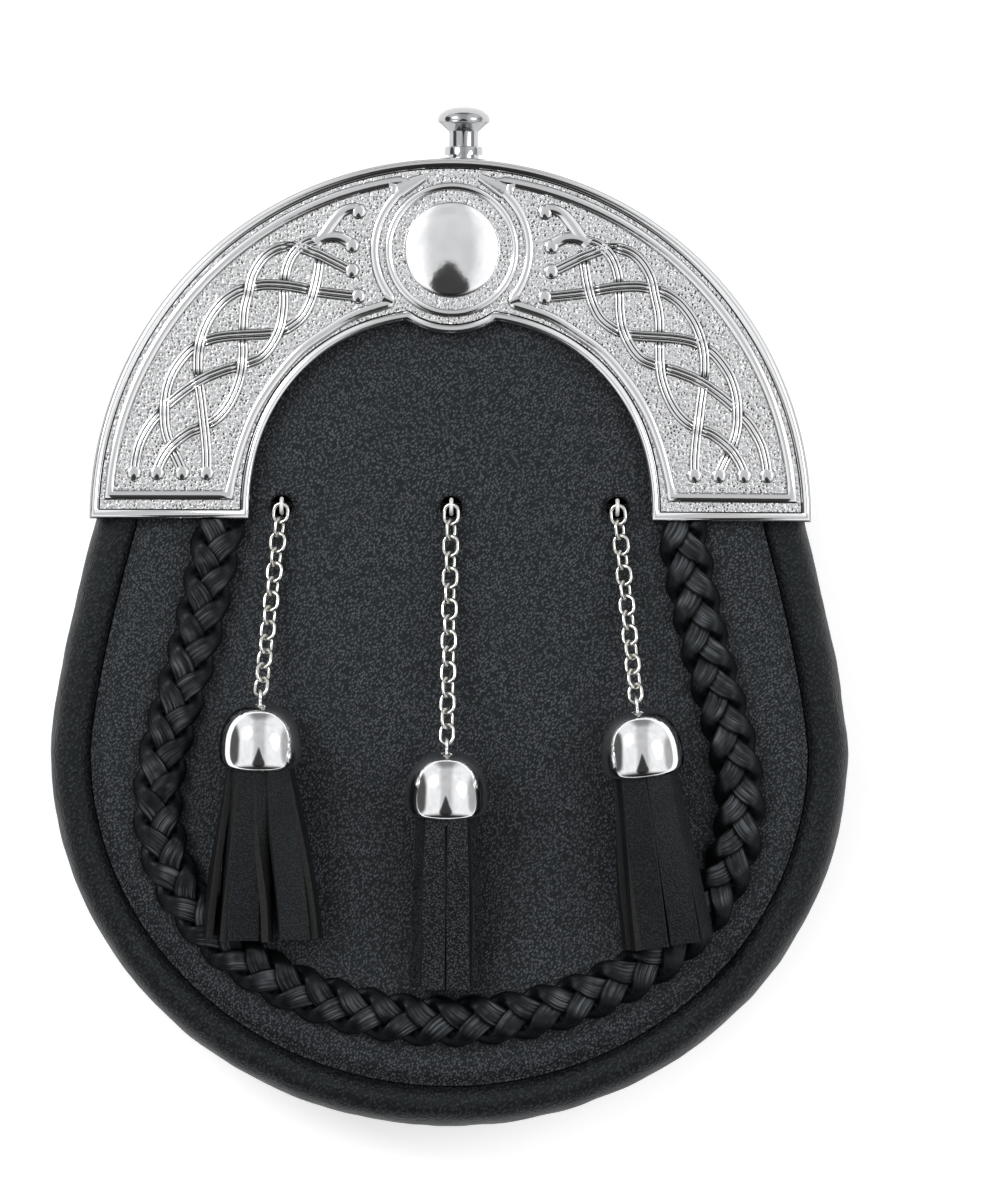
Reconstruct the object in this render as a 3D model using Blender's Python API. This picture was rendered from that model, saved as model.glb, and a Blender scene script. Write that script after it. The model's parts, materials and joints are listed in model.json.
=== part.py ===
"""A kilt pouch: a hollow leather pouch under a cast metal cantle, with a plaited band and tassels on chains.

It lies on its back panel, as it would on a table. +Z points out of its front and +Y towards the knob. The
origin is on the back panel's outer face, on the centre line, level with the straight lower edges of the cantle.
"""

import math

import bmesh
import bpy
from mathutils import Matrix, Vector
from mathutils.bvhtree import BVHTree

MM = 0.001
GAP = 0.3 * MM  # left between pieces that touch
ARC_STEPS = 26  # flats round the cantle's half circle
FLAT_ANGLE = math.radians(0.3)
WELD_REACH = 0.002 * MM
CHAIN_WELD = 0.04 * MM  # slivers shorter than this go where links meet
SEARCH_STEPS = 40

# The pouch's outline, seen from the front
CANTLE_RADIUS = 80.8 * MM
BELLY_HALF_WIDTH = 89.4 * MM
BELLY_DROP = 52.0 * MM  # from the cantle's lower edge down to the widest level
BOTTOM_DROP = 135.8 * MM  # from the cantle's lower edge down to the lowest point
FLARE_POWER = 1.4  # how early the sides swell below the cantle

# The leather
POUCH_DEPTH = 32.0 * MM  # back panel's outer face to the front panel's face
PANEL_THICKNESS = 2.0 * MM
BACK_THICKNESS = 2.0 * MM
GUSSET_WALL = 1.8 * MM
CROWN_HEIGHT = 2.0 * MM  # swell of the front panel's middle
CROWN_REACH = 0.66  # share of the way from the panel's middle to its edge where the swell ends
CROWN_SHOULDER = 0.6  # the crown's inner ring, as a share of that reach
PANEL_MIDDLE_DROP = 40.0 * MM
ROLL_WIDTH = 10.0 * MM  # rolled front edge of the gusset, at the belly
ROLL_WIDTH_AT_CANTLE = 7.4 * MM
ROLL_CREST = 0.9 * MM  # height of the roll above the front panel, at the belly
CREST_RUN = 25.0 * MM  # length below the cantle over which the crest rises
TUCK_ANGLE = 20.0  # degrees that the gusset runs up inside the cantle
BACK_INSET = 0.9 * MM  # how far the back panel's edge lies inside the outline

# The cantle
CANTLE_WALL = 1.4 * MM
TRAY_RISE = 3.0 * MM  # height of the cantle's face above the front panel
FLANGE_WALL = 1.2 * MM
FLANGE_DEPTH = 24.7 * MM
FLANGE_FLARE = 1.2 * MM  # how far the flange splays out from front to rear
FLANGE_FIT = 0.4 * MM  # room between the flange and the leather inside it
FLANGE_LIFT = 0.2 * MM  # how far the flange's front edge stands above the cantle's face
ARCH_HALF_WIDTH = 45.0 * MM
ARCH_HEIGHT = 45.2 * MM
ARCH_POWER = 2.25  # 2 is an ellipse, more is squarer
RIM_WIDTH = 1.8 * MM
RIM_HEIGHT = 0.9 * MM
RIM_INSET = 1.0 * MM
PLATE_INSET = 0.5 * MM  # how far the plate's edge lies inside the flange's outer face
RELIEF_SINK = 0.4 * MM  # how deep raised work is rooted in the plate
RIM_TOP_SHARE = 0.6  # width of the rim's top as a share of its foot
ARCH_STEPS = 7  # flats on each half of the arch
LOBE_STEPS = 4

# Raised work on the cantle
MEDAL_CENTRE = 60.2 * MM  # height above the cantle's lower edge
MEDAL_LOBE_RADIUS = 18.6 * MM
MEDAL_RING_RADIUS = 14.1 * MM
MEDAL_RING_WIDTH = 1.8 * MM
MEDAL_DOME_RADIUS = 10.7 * MM
MEDAL_DOME_HEIGHT = 2.0 * MM
MEDAL_SIDES = 18
BORDER_INSET = 4.5 * MM
BORDER_FOOT = 6.0 * MM  # height of the border's lower run above the cantle's lower edge
BORDER_MEDAL_RADIUS = 17.0 * MM
BORDER_WIDTH = 2.0 * MM
BORDER_HEIGHT = 0.8 * MM
BORDER_STEPS = (11, 6, 4)  # flats on its outer run, along the arch and round the medallion
PLAIT_RADIUS = 62.8 * MM  # middle of the interlace, from the origin
PLAIT_SWING = 7.05 * MM
PLAIT_FIRST_ANGLE = 165.4
PLAIT_STEP_ANGLE = 13.2
STRAND_WIDTH = 2.6 * MM
STRAND_HEIGHT = 0.55 * MM
STRAND_WEAVE = 0.15 * MM  # rise and fall where strands cross
DOT_RADIUS = 1.5 * MM
DOT_HEIGHT = 0.9 * MM
DOT_TOP_SHARE = 0.6
DOT_SIDES = 8

# The press knob on top
KNOB_OFFSET = 2.5 * MM  # it sits a little right of the centre line
KNOB_LEVEL = 22.0 * MM  # height of its axis above the back panel's outer face
KNOB_HEAD_RADIUS = 5.9 * MM
KNOB_HEAD_HEIGHT = 5.4 * MM
KNOB_STEM_RADIUS = 3.3 * MM
KNOB_NECK = 3.6 * MM  # stem that shows between the collar and the head
KNOB_DISC_RADIUS = 4.8 * MM
KNOB_DISC_THICKNESS = 1.2 * MM
COLLAR_RADIUS = 4.3 * MM
COLLAR_HEIGHT = 1.9 * MM
KNOB_SIDES = 14

# The tabs that the waist strap hooks into
TAB_ANGLE = 40.0  # degrees above the cantle's lower edge
TAB_WIDTH = 16.0 * MM
TAB_THICKNESS = 1.6 * MM
TAB_FOOT = 3.2 * MM  # height of its free end above the back panel's outer face
TAB_LENGTH = 19.0 * MM
TAB_SLOT_WIDTH = 11.6 * MM
TAB_BAR = 2.0 * MM
TAB_SLOT_HEIGHT = 5.0 * MM

# The plaited band on the front panel
BAND_HALF_WIDTH = 5.9 * MM
BAND_SCALLOP = 1.1 * MM
BAND_THICKNESS = 3.6 * MM
BAND_TOP_SHARE = 0.45  # width of the band's crest as a share of its full width
BAND_LOBE = 7.7 * MM
BAND_TOP_HALF_SPAN = 51.2 * MM
BAND_HALF_SPAN = 65.0 * MM
BAND_BELLY_DROP = 64.0 * MM
BAND_BOTTOM_DROP = 112.0 * MM

# The chains
LINK_WIRE_RADIUS = 0.48 * MM
LINK_PITCH = 3.5 * MM
LINK_HALF_WIDTH = 1.65 * MM  # to the middle of the wire
LINK_OVERLAP = 0.42 * MM  # links bite this far into each other where they hang together
LINK_FLAT_ROLL = 20.0
LINK_EDGE_ROLL = -65.0
CHAIN_LIE = 2.4 * MM  # height of the chain's middle above the panel
CHAIN_SAG = 2.4
HOLE_RADIUS = 2.6 * MM
HOLE_LEVEL = 2.9 * MM
HOLE_SIDES = 12
ANCHOR_RADIUS = 0.9 * MM
ANCHOR_LENGTH = 10.0 * MM
ANCHOR_SIDES = 8
SAG_STEPS = 60  # steps in which a chain's length is measured

# The tassels
CAP_RADIUS = 9.0 * MM
CAP_HEIGHT = 15.2 * MM
CAP_WALL = 0.8 * MM
CAP_SIDES = 10
EYE_RADIUS = 1.5 * MM
HEAD_RADIUS = 6.2 * MM
HEAD_RUN = (0.28, 1.25)  # where the head starts and ends, as shares of the cap's height
TASSEL_LENGTH = 53.3 * MM
STRIP_COUNT = 7
STRIP_WIDTH = 5.6 * MM
STRIP_THICKNESS = 1.4 * MM
STRIP_BITE = 0.3  # share of its thickness that a strip is set into the head
STRIP_TOP_SHARE = 0.8  # width of a strip at its top as a share of its end

# One row for each point of the roll: across from the groove to the outline and up from the back panel's inner
# face to the front panel's face, both as shares, and the share of the crest
ROLL_ROWS = (
    (0.30, 0.99, 0.6),
    (0.70, 0.99, 0.9),
    (1.0, 0.78, 0.0),
    (0.95, 0.25, 0.0),
    (0.86, 0.0, 0.0),
)
ROLL_LIP = -0.35  # inner edge of the lip under the front panel, across
ROLL_GROOVE = 0.10
ROLL_SEAM = 0.30  # inner edge of the seam allowance on the back panel, across

# One row for each point of a turned profile: radius and height as shares of the piece's own
DOME_ROWS = ((1.0, 0.2), (0.8, 0.78))
KNOB_HEAD_ROWS = ((1.0, 0.25), (1.0, 0.68), (0.6, 0.93))
CAP_OUTER_ROWS = ((0, 0), (0.42, 0.03), (0.80, 0.20), (1.0, 0.52), (0.98, 0.88), (0.88, 1.0))
CAP_INNER_ROWS = ((0.88, 1.0), (0.98, 0.70), (0.78, 0.20), (0, 0.03))

# One row for each strand of the interlace: its phase, then where its lower and its upper end lie, along in
# stations and across as a share of the swing
STRANDS = (
    (0, -0.485, 1.24, 4.45, 1.27),
    (1, -0.386, -0.25, 4.20, 0.29),
    (2, -0.326, -1.03, 3.95, -1.25),
    (3, -0.440, 0.49, 4.08, -0.43),
)
STRAND_LAST_STATION = 3.5
STRAND_STEPS = 2  # points for each station

# One row for each tassel: name, where its chain leaves the panel, where its cap starts (x and drop), its lean to
# the right in degrees, half the spread of its strips at the end, and the height of that end above the panel
TASSELS = (
    ("left", -37.7 * MM, -42.0 * MM, 40.9 * MM, -0.5, 12.6 * MM, 9.2 * MM),
    ("middle", 0.2 * MM, -0.5 * MM, 51.4 * MM, 0.0, 8.0 * MM, 5.4 * MM),
    ("right", 37.3 * MM, 41.8 * MM, 42.0 * MM, 7.4, 8.0 * MM, 9.2 * MM),
)

# One row for each station down the strips: the share of the tassel's length and of the spread reached there
STRIP_ROWS = ((0.3, 0.0), (1.0, 1.0))
STRIP_END_FLATTEN = 0.55  # height of the bundle at its end as a share of that under the cap

SHOULDER_RADIUS = CANTLE_RADIUS - FLANGE_WALL - FLANGE_FIT
FACE_LEVEL = POUCH_DEPTH + TRAY_RISE
FLANGE_TOP = FACE_LEVEL + FLANGE_LIFT
FLANGE_REAR = FLANGE_TOP - FLANGE_DEPTH


def ease(share):
    """0 to 1 with a soft start and end."""
    share = min(1.0, max(0.0, share))
    return share * share * (3 - 2 * share)


def blend(low, high, share):
    return low + (high - low) * share


def polar(radius, degrees):
    angle = math.radians(degrees)
    return Vector((radius * math.cos(angle), radius * math.sin(angle)))


def make_material(name, colour, metallic, roughness):
    made = bpy.data.materials.new(name)
    made.use_nodes = True
    shader = made.node_tree.nodes["Principled BSDF"]
    shader.inputs["Base Color"].default_value = (*colour, 1.0)
    shader.inputs["Metallic"].default_value = metallic
    shader.inputs["Roughness"].default_value = roughness
    return made


def add_solid(name, points, faces, finish, smooth=40.0):
    """An object from points and faces, with its faces turned outwards."""
    mesh = bpy.data.meshes.new(name)
    mesh.from_pydata([tuple(p) for p in points], [], faces)
    builder = bmesh.new()
    builder.from_mesh(mesh)
    bmesh.ops.recalc_face_normals(builder, faces=builder.faces)
    builder.to_mesh(mesh)
    builder.free()
    mesh.materials.append(finish)
    mesh.shade_smooth()
    mesh.set_sharp_from_angle(angle=math.radians(smooth))
    made = bpy.data.objects.new(name, mesh)
    bpy.context.scene.collection.objects.link(made)
    return made


def skin(name, rings, closed, finish):
    """A solid through rings of points. The path closes on itself, or its two ends are capped."""
    size = len(rings[0])
    points = [point for ring in rings for point in ring]
    faces = []
    for i in range(len(rings) if closed else len(rings) - 1):
        here, there = i * size, (i + 1) % len(rings) * size
        for j in range(size):
            k = (j + 1) % size
            faces.append((here + j, here + k, there + k, there + j))
    if not closed:
        last = (len(rings) - 1) * size
        faces.append(tuple(range(size)))
        faces.append(tuple(range(last, last + size)))
    return add_solid(name, points, faces, finish)


def turned(name, profile, segments, place, finish):
    """A turned solid about place's own Z. The profile goes from pole to pole or round a closed ring."""
    has_poles = profile[0][0] == 0
    body = profile[1:-1] if has_poles else profile
    points, faces = [], []
    for radius, height in body:
        for i in range(segments):
            angle = 2 * math.pi * i / segments
            points.append(Vector((radius * math.cos(angle), radius * math.sin(angle), height)))
    rows = len(body)
    for row in range(rows - 1 if has_poles else rows):
        here, there = row * segments, (row + 1) % rows * segments
        for i in range(segments):
            j = (i + 1) % segments
            faces.append((here + i, here + j, there + j, there + i))
    if has_poles:
        for ring, (_, height) in ((0, profile[0]), (rows - 1, profile[-1])):
            pole = len(points)
            points.append(Vector((0, 0, height)))
            start = ring * segments
            faces += [(start + i, start + (i + 1) % segments, pole) for i in range(segments)]
    return add_solid(name, [place @ point for point in points], faces, finish)


def cut_to_triangles(piece):
    builder = bmesh.new()
    builder.from_mesh(piece.data)
    bmesh.ops.triangulate(builder, faces=builder.faces)
    builder.to_mesh(piece.data)
    builder.free()


def combine(base, tools, operation="UNION", weld=WELD_REACH):
    """Joins the tools to base, or cuts them from it, all at once."""
    bundle = bpy.data.collections.new("tools")
    for tool in tools:
        bundle.objects.link(tool)
    step = base.modifiers.new(operation, "BOOLEAN")
    step.operation = operation
    step.solver = "EXACT"
    step.operand_type = "COLLECTION"
    step.collection = bundle
    graph = bpy.context.evaluated_depsgraph_get()
    mesh = bpy.data.meshes.new_from_object(base.evaluated_get(graph))
    base.modifiers.clear()
    base.data = mesh
    for tool in tools:
        bpy.data.objects.remove(tool)
    bpy.data.collections.remove(bundle)
    builder = bmesh.new()
    builder.from_mesh(base.data)
    bmesh.ops.remove_doubles(builder, verts=builder.verts, dist=weld)
    bmesh.ops.dissolve_degenerate(builder, edges=builder.edges, dist=weld)
    builder.to_mesh(base.data)
    builder.free()
    return base


def merge_flat(piece):
    """Merges the faces of a piece that lie in one plane."""
    builder = bmesh.new()
    builder.from_mesh(piece.data)
    bmesh.ops.dissolve_limit(builder, angle_limit=FLAT_ANGLE, verts=builder.verts, edges=builder.edges)
    builder.to_mesh(piece.data)
    builder.free()
    return piece


def side_normals(path, closed):
    """For each point of a plan path, the mitred normal on the right-hand side of the way along it."""
    count = len(path)
    normals = []
    for i, here in enumerate(path):
        before = path[i - 1] if closed or i else None
        after = path[(i + 1) % count] if closed or i < count - 1 else None
        ways = []
        if before is not None:
            ways.append((here - before).normalized())
        if after is not None:
            ways.append((after - here).normalized())
        sides = [Vector((way.y, -way.x)) for way in ways]
        if len(sides) == 1:
            normals.append(sides[0])
        else:
            normals.append((sides[0] + sides[1]) / (1 + sides[0].dot(sides[1])))
    return normals


def shifted(path, distance, closed):
    """A plan path moved sideways to its right."""
    normals = side_normals(path, closed)
    return [point + normal * distance for point, normal in zip(path, normals)]


def moulding(name, path, section, closed, finish):
    """A section of (offset to the right, height) points swept along a plan path."""
    rings = []
    for point, normal in zip(path, side_normals(path, closed)):
        ring = []
        for offset, height in section:
            spot = point + normal * offset
            ring.append(Vector((spot.x, spot.y, height)))
        rings.append(ring)
    return skin(name, rings, closed, finish)


def slab(name, outline, low, high, finish):
    rings = [[Vector((p.x, p.y, level)) for p in outline] for level in (low, high)]
    return skin(name, rings, False, finish)


def raised(width, height):
    """Section of raised work: a ridge rooted in the cantle's face."""
    low, high = FACE_LEVEL - RELIEF_SINK, FACE_LEVEL + height
    return ((-width / 2, low), (width / 2, low), (0.0, high))


# The outline of the pouch


def outline_half():
    """The outline's right half, from the gusset's hidden end inside the cantle down to the lowest point."""
    points = [polar(SHOULDER_RADIUS, TUCK_ANGLE * share) for share in (1.0, 0.0)]
    flare_steps = 4
    for i in range(1, flare_steps):
        share = i / flare_steps
        swell = 1 - (1 - share) ** FLARE_POWER
        points.append(Vector((blend(SHOULDER_RADIUS, BELLY_HALF_WIDTH, swell), -BELLY_DROP * share)))
    bowl_steps = 9
    bowl = BOTTOM_DROP - BELLY_DROP
    for i in range(bowl_steps + 1):
        angle = math.pi / 2 * i / bowl_steps
        points.append(Vector((BELLY_HALF_WIDTH * math.cos(angle), -BELLY_DROP - bowl * math.sin(angle))))
    points[-1].x = 0.0
    return points


def outline():
    """The whole U, from the right end inside the cantle, under the pouch, to the left one."""
    right = outline_half()
    left = [Vector((-p.x, p.y)) for p in reversed(right[:-1])]
    return right + left


def roll_width(y):
    return blend(ROLL_WIDTH_AT_CANTLE, ROLL_WIDTH, ease(-y / BELLY_DROP))


def inset_outline(inset_at):
    """The U moved inwards at each point by inset_at(y)."""
    path = outline()
    return [p + n * inset_at(p.y) for p, n in zip(path, side_normals(path, False))]


def closing_arc(radius):
    """Points over the top between the ends of the U, from left to right."""
    steps = 10
    span = 180.0 - 2 * TUCK_ANGLE
    return [polar(radius, 180.0 - TUCK_ANGLE - span * i / steps) for i in range(1, steps)]


# The leather pieces


def make_back_panel(leather):
    edge = inset_outline(lambda y: BACK_INSET)
    edge += closing_arc(SHOULDER_RADIUS - BACK_INSET)
    return slab("back_panel", edge, 0.0, BACK_THICKNESS, leather)


def roll_section(y):
    """The gusset's section at height y of the outline, as (inset from the outline, level) points."""
    base = BACK_THICKNESS + GAP
    lip = POUCH_DEPTH - PANEL_THICKNESS - GAP
    crest = ROLL_CREST * ease(-y / CREST_RUN)
    outer = [Vector((ROLL_LIP, lip)), Vector((ROLL_GROOVE, lip))]
    for across, up, crest_share in ROLL_ROWS:
        outer.append(Vector((across, blend(base, POUCH_DEPTH, up) + crest * crest_share)))
    outer.append(Vector((ROLL_SEAM, base)))
    for point in outer:
        point.x = (point.x - 1) * roll_width(y)
    inner = shifted(outer, GUSSET_WALL, False)
    return [(-p.x, p.y) for p in outer + inner[::-1]]


def make_gusset(leather):
    path = outline()
    rings = []
    for point, normal in zip(path, side_normals(path, False)):
        ring = []
        for inset, level in roll_section(point.y):
            spot = point + normal * inset
            ring.append(Vector((spot.x, spot.y, level)))
        rings.append(ring)
    return skin("gusset", rings, False, leather)


def panel_edge():
    edge = inset_outline(lambda y: roll_width(y) * (1 - ROLL_GROOVE) + GAP)
    return edge + closing_arc(SHOULDER_RADIUS - ROLL_WIDTH_AT_CANTLE * (1 - ROLL_GROOVE) - GAP)


def make_front_panel(leather):
    """A sheet with a swollen middle and a hole for each chain."""
    edge = panel_edge()
    middle = Vector((0, -PANEL_MIDDLE_DROP))
    shares = (1.0, CROWN_REACH, CROWN_REACH * CROWN_SHOULDER)
    count = len(edge)
    points, faces = [], []
    for level in (POUCH_DEPTH, POUCH_DEPTH - PANEL_THICKNESS):
        start = len(points)
        for share in shares:
            swell = CROWN_HEIGHT * max(0.0, 1 - (share / CROWN_REACH) ** 2)
            for p in edge:
                spot = middle.lerp(p, share)
                points.append(Vector((spot.x, spot.y, level + swell)))
        points.append(Vector((middle.x, middle.y, level + CROWN_HEIGHT)))
        for ring in range(len(shares) - 1):
            here, there = start + ring * count, start + (ring + 1) * count
            for i in range(count):
                j = (i + 1) % count
                faces.append((here + i, here + j, there + j, there + i))
        last, pole = start + (len(shares) - 1) * count, len(points) - 1
        faces += [(last + i, last + (i + 1) % count, pole) for i in range(count)]
    below = len(points) // 2
    faces += [(i, (i + 1) % count, below + (i + 1) % count, below + i) for i in range(count)]
    panel = add_solid("front_panel", points, faces, leather)
    builder = bmesh.new()
    builder.from_mesh(panel.data)
    skin_tree = BVHTree.FromBMesh(builder)
    builder.free()
    cutters = []
    for _, hole_x, *_ in TASSELS:
        place = Matrix.Translation((hole_x, HOLE_LEVEL, POUCH_DEPTH))
        reach = PANEL_THICKNESS + CROWN_HEIGHT
        profile = ((0, -2 * reach), (HOLE_RADIUS, -2 * reach), (HOLE_RADIUS, 2 * reach), (0, 2 * reach))
        cutters.append(turned("hole", profile, HOLE_SIDES, place, leather))
    merge_flat(combine(panel, cutters, "DIFFERENCE"))
    return skin_tree


def panel_level(skin_tree, x, y):
    """Height of the front panel's face over the point x, y."""
    return skin_tree.ray_cast(Vector((x, y, POUCH_DEPTH * 2)), Vector((0, 0, -1)))[0].z


def band_path():
    """The plaited band's line: down one side from the cantle, round the bottom and up the other."""
    right = []
    side_steps = round((BAND_BELLY_DROP - GAP) / (BAND_LOBE / 2))
    for i in range(side_steps):
        share = i / side_steps
        sway = share * (1 - share) + share * (1 - math.cos(math.pi * share)) / 2
        drop = blend(GAP, BAND_BELLY_DROP, share)
        right.append(Vector((blend(BAND_TOP_HALF_SPAN, BAND_HALF_SPAN, sway), -drop)))
    bowl = BAND_BOTTOM_DROP - BAND_BELLY_DROP
    quarter = math.pi / 4 * (BAND_HALF_SPAN + bowl)
    bowl_steps = round(quarter / (BAND_LOBE / 2))
    for i in range(bowl_steps + 1):
        angle = math.pi / 2 * i / bowl_steps
        right.append(Vector((BAND_HALF_SPAN * math.cos(angle), -BAND_BELLY_DROP - bowl * math.sin(angle))))
    right[-1].x = 0.0
    return right + [Vector((-p.x, p.y)) for p in reversed(right[:-1])]


def make_band(leather):
    """The plaited band as one scalloped strip that lies on the front panel."""
    path = band_path()
    low = POUCH_DEPTH + GAP
    rings = []
    for i, (point, normal) in enumerate(zip(path, side_normals(path, False))):
        half = BAND_HALF_WIDTH - (BAND_SCALLOP if i % 2 else 0.0)
        top = half * BAND_TOP_SHARE
        section = ((-half, 0.0), (half, 0.0), (top, BAND_THICKNESS), (-top, BAND_THICKNESS))
        ring = []
        for across, up in section:
            spot = point + normal * across
            ring.append(Vector((spot.x, spot.y, low + up)))
        rings.append(ring)
    rings[0] = [Vector((p.x, -GAP, p.z)) for p in rings[0]]
    rings[-1] = [Vector((p.x, -GAP, p.z)) for p in rings[-1]]
    return skin("plaited_band", rings, False, leather)


# The cantle


def arch_point(degrees, grow=0.0):
    """A point of the cantle's inner arch, moved outwards by grow."""
    angle = math.radians(degrees)
    power = 2 / ARCH_POWER
    return Vector((
        (ARCH_HALF_WIDTH + grow) * math.copysign(abs(math.cos(angle)) ** power, math.cos(angle)),
        (ARCH_HEIGHT + grow) * abs(math.sin(angle)) ** power,
    ))


def arch_meets(radius, grow=0.0):
    """The angle, seen from its right foot, at which the arch is radius away from the medallion's centre."""
    centre = Vector((0, MEDAL_CENTRE))
    low, high = 0.0, 90.0
    for _ in range(SEARCH_STEPS):
        middle = (low + high) / 2
        if (arch_point(middle, grow) - centre).length > radius:
            low = middle
        else:
            high = middle
    return low


def medal_point(radius, degrees):
    return Vector((0, MEDAL_CENTRE)) + polar(radius, degrees)


def medal_angle(point):
    """Direction of a point seen from the medallion's centre, from -180 to 180 degrees."""
    return math.degrees(math.atan2(point.y - MEDAL_CENTRE, point.x))


def spaced(first, last, steps):
    return [blend(first, last, i / steps) for i in range(steps + 1)]


def cantle_outline():
    """The cantle seen from the front, from its right outer corner over the top and back under the arch."""
    outer = [polar(CANTLE_RADIUS - PLATE_INSET, a) for a in spaced(0, 180, ARC_STEPS)]
    for point in (outer[0], outer[-1]):
        point.y = 0.0
    meet = arch_meets(MEDAL_LOBE_RADIUS)
    left = [arch_point(a) for a in spaced(180, 180 - meet, ARCH_STEPS)]
    left[0].y = 0.0
    sweep = medal_angle(left[-1]) % 360, medal_angle(arch_point(meet)) % 360
    lobe = [medal_point(MEDAL_LOBE_RADIUS, a) for a in spaced(*sweep, LOBE_STEPS)][1:-1]
    right = [Vector((-p.x, p.y)) for p in reversed(left)]
    return outer + left + lobe + right


def flange_radius(level):
    """Outer radius of the flange at a level, which grows towards the rear."""
    return CANTLE_RADIUS + FLANGE_FLARE * (FLANGE_TOP - level) / FLANGE_DEPTH


def make_flange(chrome):
    rings = []
    for degrees in spaced(0, 180, ARC_STEPS):
        ring = []
        for level in (FLANGE_TOP, FLANGE_REAR):
            for wall in (0.0, FLANGE_WALL):
                spot = polar(flange_radius(level) - wall, degrees)
                ring.append(Vector((spot.x, spot.y, level)))
        ring[2], ring[3] = ring[3], ring[2]
        rings.append(ring)
    for ring in (rings[0], rings[-1]):
        for point in ring:
            point.y = 0.0
    return skin("flange", rings, False, chrome)


def border_outline():
    """The raised border round the right-hand field of interlace, with horns above and below the medallion."""
    radius = CANTLE_RADIUS - BORDER_INSET
    outer_steps, arch_steps, medal_steps = BORDER_STEPS
    top_y = (radius**2 + MEDAL_CENTRE**2 - BORDER_MEDAL_RADIUS**2) / (2 * MEDAL_CENTRE)
    top = Vector((math.sqrt(radius**2 - top_y**2), top_y))
    top_angle = math.degrees(math.atan2(top.y, top.x))
    foot_angle = math.degrees(math.asin(BORDER_FOOT / radius))
    outer = [polar(radius, a) for a in spaced(top_angle, foot_angle, outer_steps)]
    meet = arch_meets(BORDER_MEDAL_RADIUS, BORDER_INSET)
    low, high = 0.0, 90.0
    for _ in range(SEARCH_STEPS):
        middle = (low + high) / 2
        if arch_point(middle, BORDER_INSET).y < BORDER_FOOT:
            low = middle
        else:
            high = middle
    inner = [arch_point(a, BORDER_INSET) for a in spaced(low, meet, arch_steps)]
    start, end = medal_angle(inner[-1]), medal_angle(top)
    side = [medal_point(BORDER_MEDAL_RADIUS, a) for a in spaced(start, end, medal_steps)][1:-1]
    return outer + inner + side


def strand_point(phase, station):
    """A point of a strand of the interlace in the left-hand field."""
    across = math.cos(math.pi / 2 * (station - phase))
    return plait_spot(station, across)


def plait_spot(station, across):
    return polar(PLAIT_RADIUS + PLAIT_SWING * across, PLAIT_FIRST_ANGLE - PLAIT_STEP_ANGLE * station)


def strand_lift(phase, station):
    """Over and under: 1 on top, -1 beneath, alternating from crossing to crossing."""
    turns = (0, 1, -1, 1, 0, -1, 1, -1)
    place = 2 * (station - phase) % len(turns)
    first = int(place)
    return blend(turns[first], turns[(first + 1) % len(turns)], ease(place - first))


def make_strand(row, side, chrome):
    """One strand with a knob on each end; side is -1 for the left-hand field and 1 for its mirror image."""
    phase, low_along, low_across, high_along, high_across = row
    stations = [i / STRAND_STEPS for i in range(int(STRAND_LAST_STATION * STRAND_STEPS) + 1)]
    path = [plait_spot(low_along, low_across)]
    path += [strand_point(phase, s) for s in stations]
    path.append(plait_spot(high_along, high_across))
    lifts = [0.0] + [strand_lift(phase, s) for s in stations] + [0.0]
    path = [Vector((-side * p.x, p.y)) for p in path]
    rings = []
    for point, normal, lift in zip(path, side_normals(path, False), lifts):
        ring = []
        for offset, level in raised(STRAND_WIDTH, STRAND_HEIGHT + STRAND_WEAVE * lift):
            spot = point + normal * offset
            ring.append(Vector((spot.x, spot.y, level)))
        rings.append(ring)
    pieces = [skin("strand", rings, False, chrome)]
    low, high = FACE_LEVEL - RELIEF_SINK, FACE_LEVEL + DOT_HEIGHT
    for spot in (path[0], path[-1]):
        place = Matrix.Translation((spot.x, spot.y, 0))
        profile = ((0, low), (DOT_RADIUS, low), (DOT_RADIUS * DOT_TOP_SHARE, high), (0, high))
        pieces.append(turned("dot", profile, DOT_SIDES, place, chrome))
    return pieces


def make_medallion(chrome):
    ring = [medal_point(MEDAL_RING_RADIUS, a) for a in spaced(0, 360, MEDAL_SIDES)][:-1]
    pieces = [moulding("medal_ring", ring, raised(MEDAL_RING_WIDTH, RIM_HEIGHT), True, chrome)]
    low = FACE_LEVEL - RELIEF_SINK
    profile = [(0, low), (MEDAL_DOME_RADIUS, low)]
    profile += [(MEDAL_DOME_RADIUS * r, FACE_LEVEL + MEDAL_DOME_HEIGHT * h) for r, h in DOME_ROWS]
    profile += [(0, FACE_LEVEL + MEDAL_DOME_HEIGHT)]
    pieces.append(turned("dome", profile, MEDAL_SIDES, Matrix.Translation((0, MEDAL_CENTRE, 0)), chrome))
    return pieces


def along_y(x, y, z):
    """A place whose own Z runs along +Y."""
    return Matrix.Translation((x, y, z)) @ Matrix.Rotation(-math.pi / 2, 4, "X")


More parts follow.
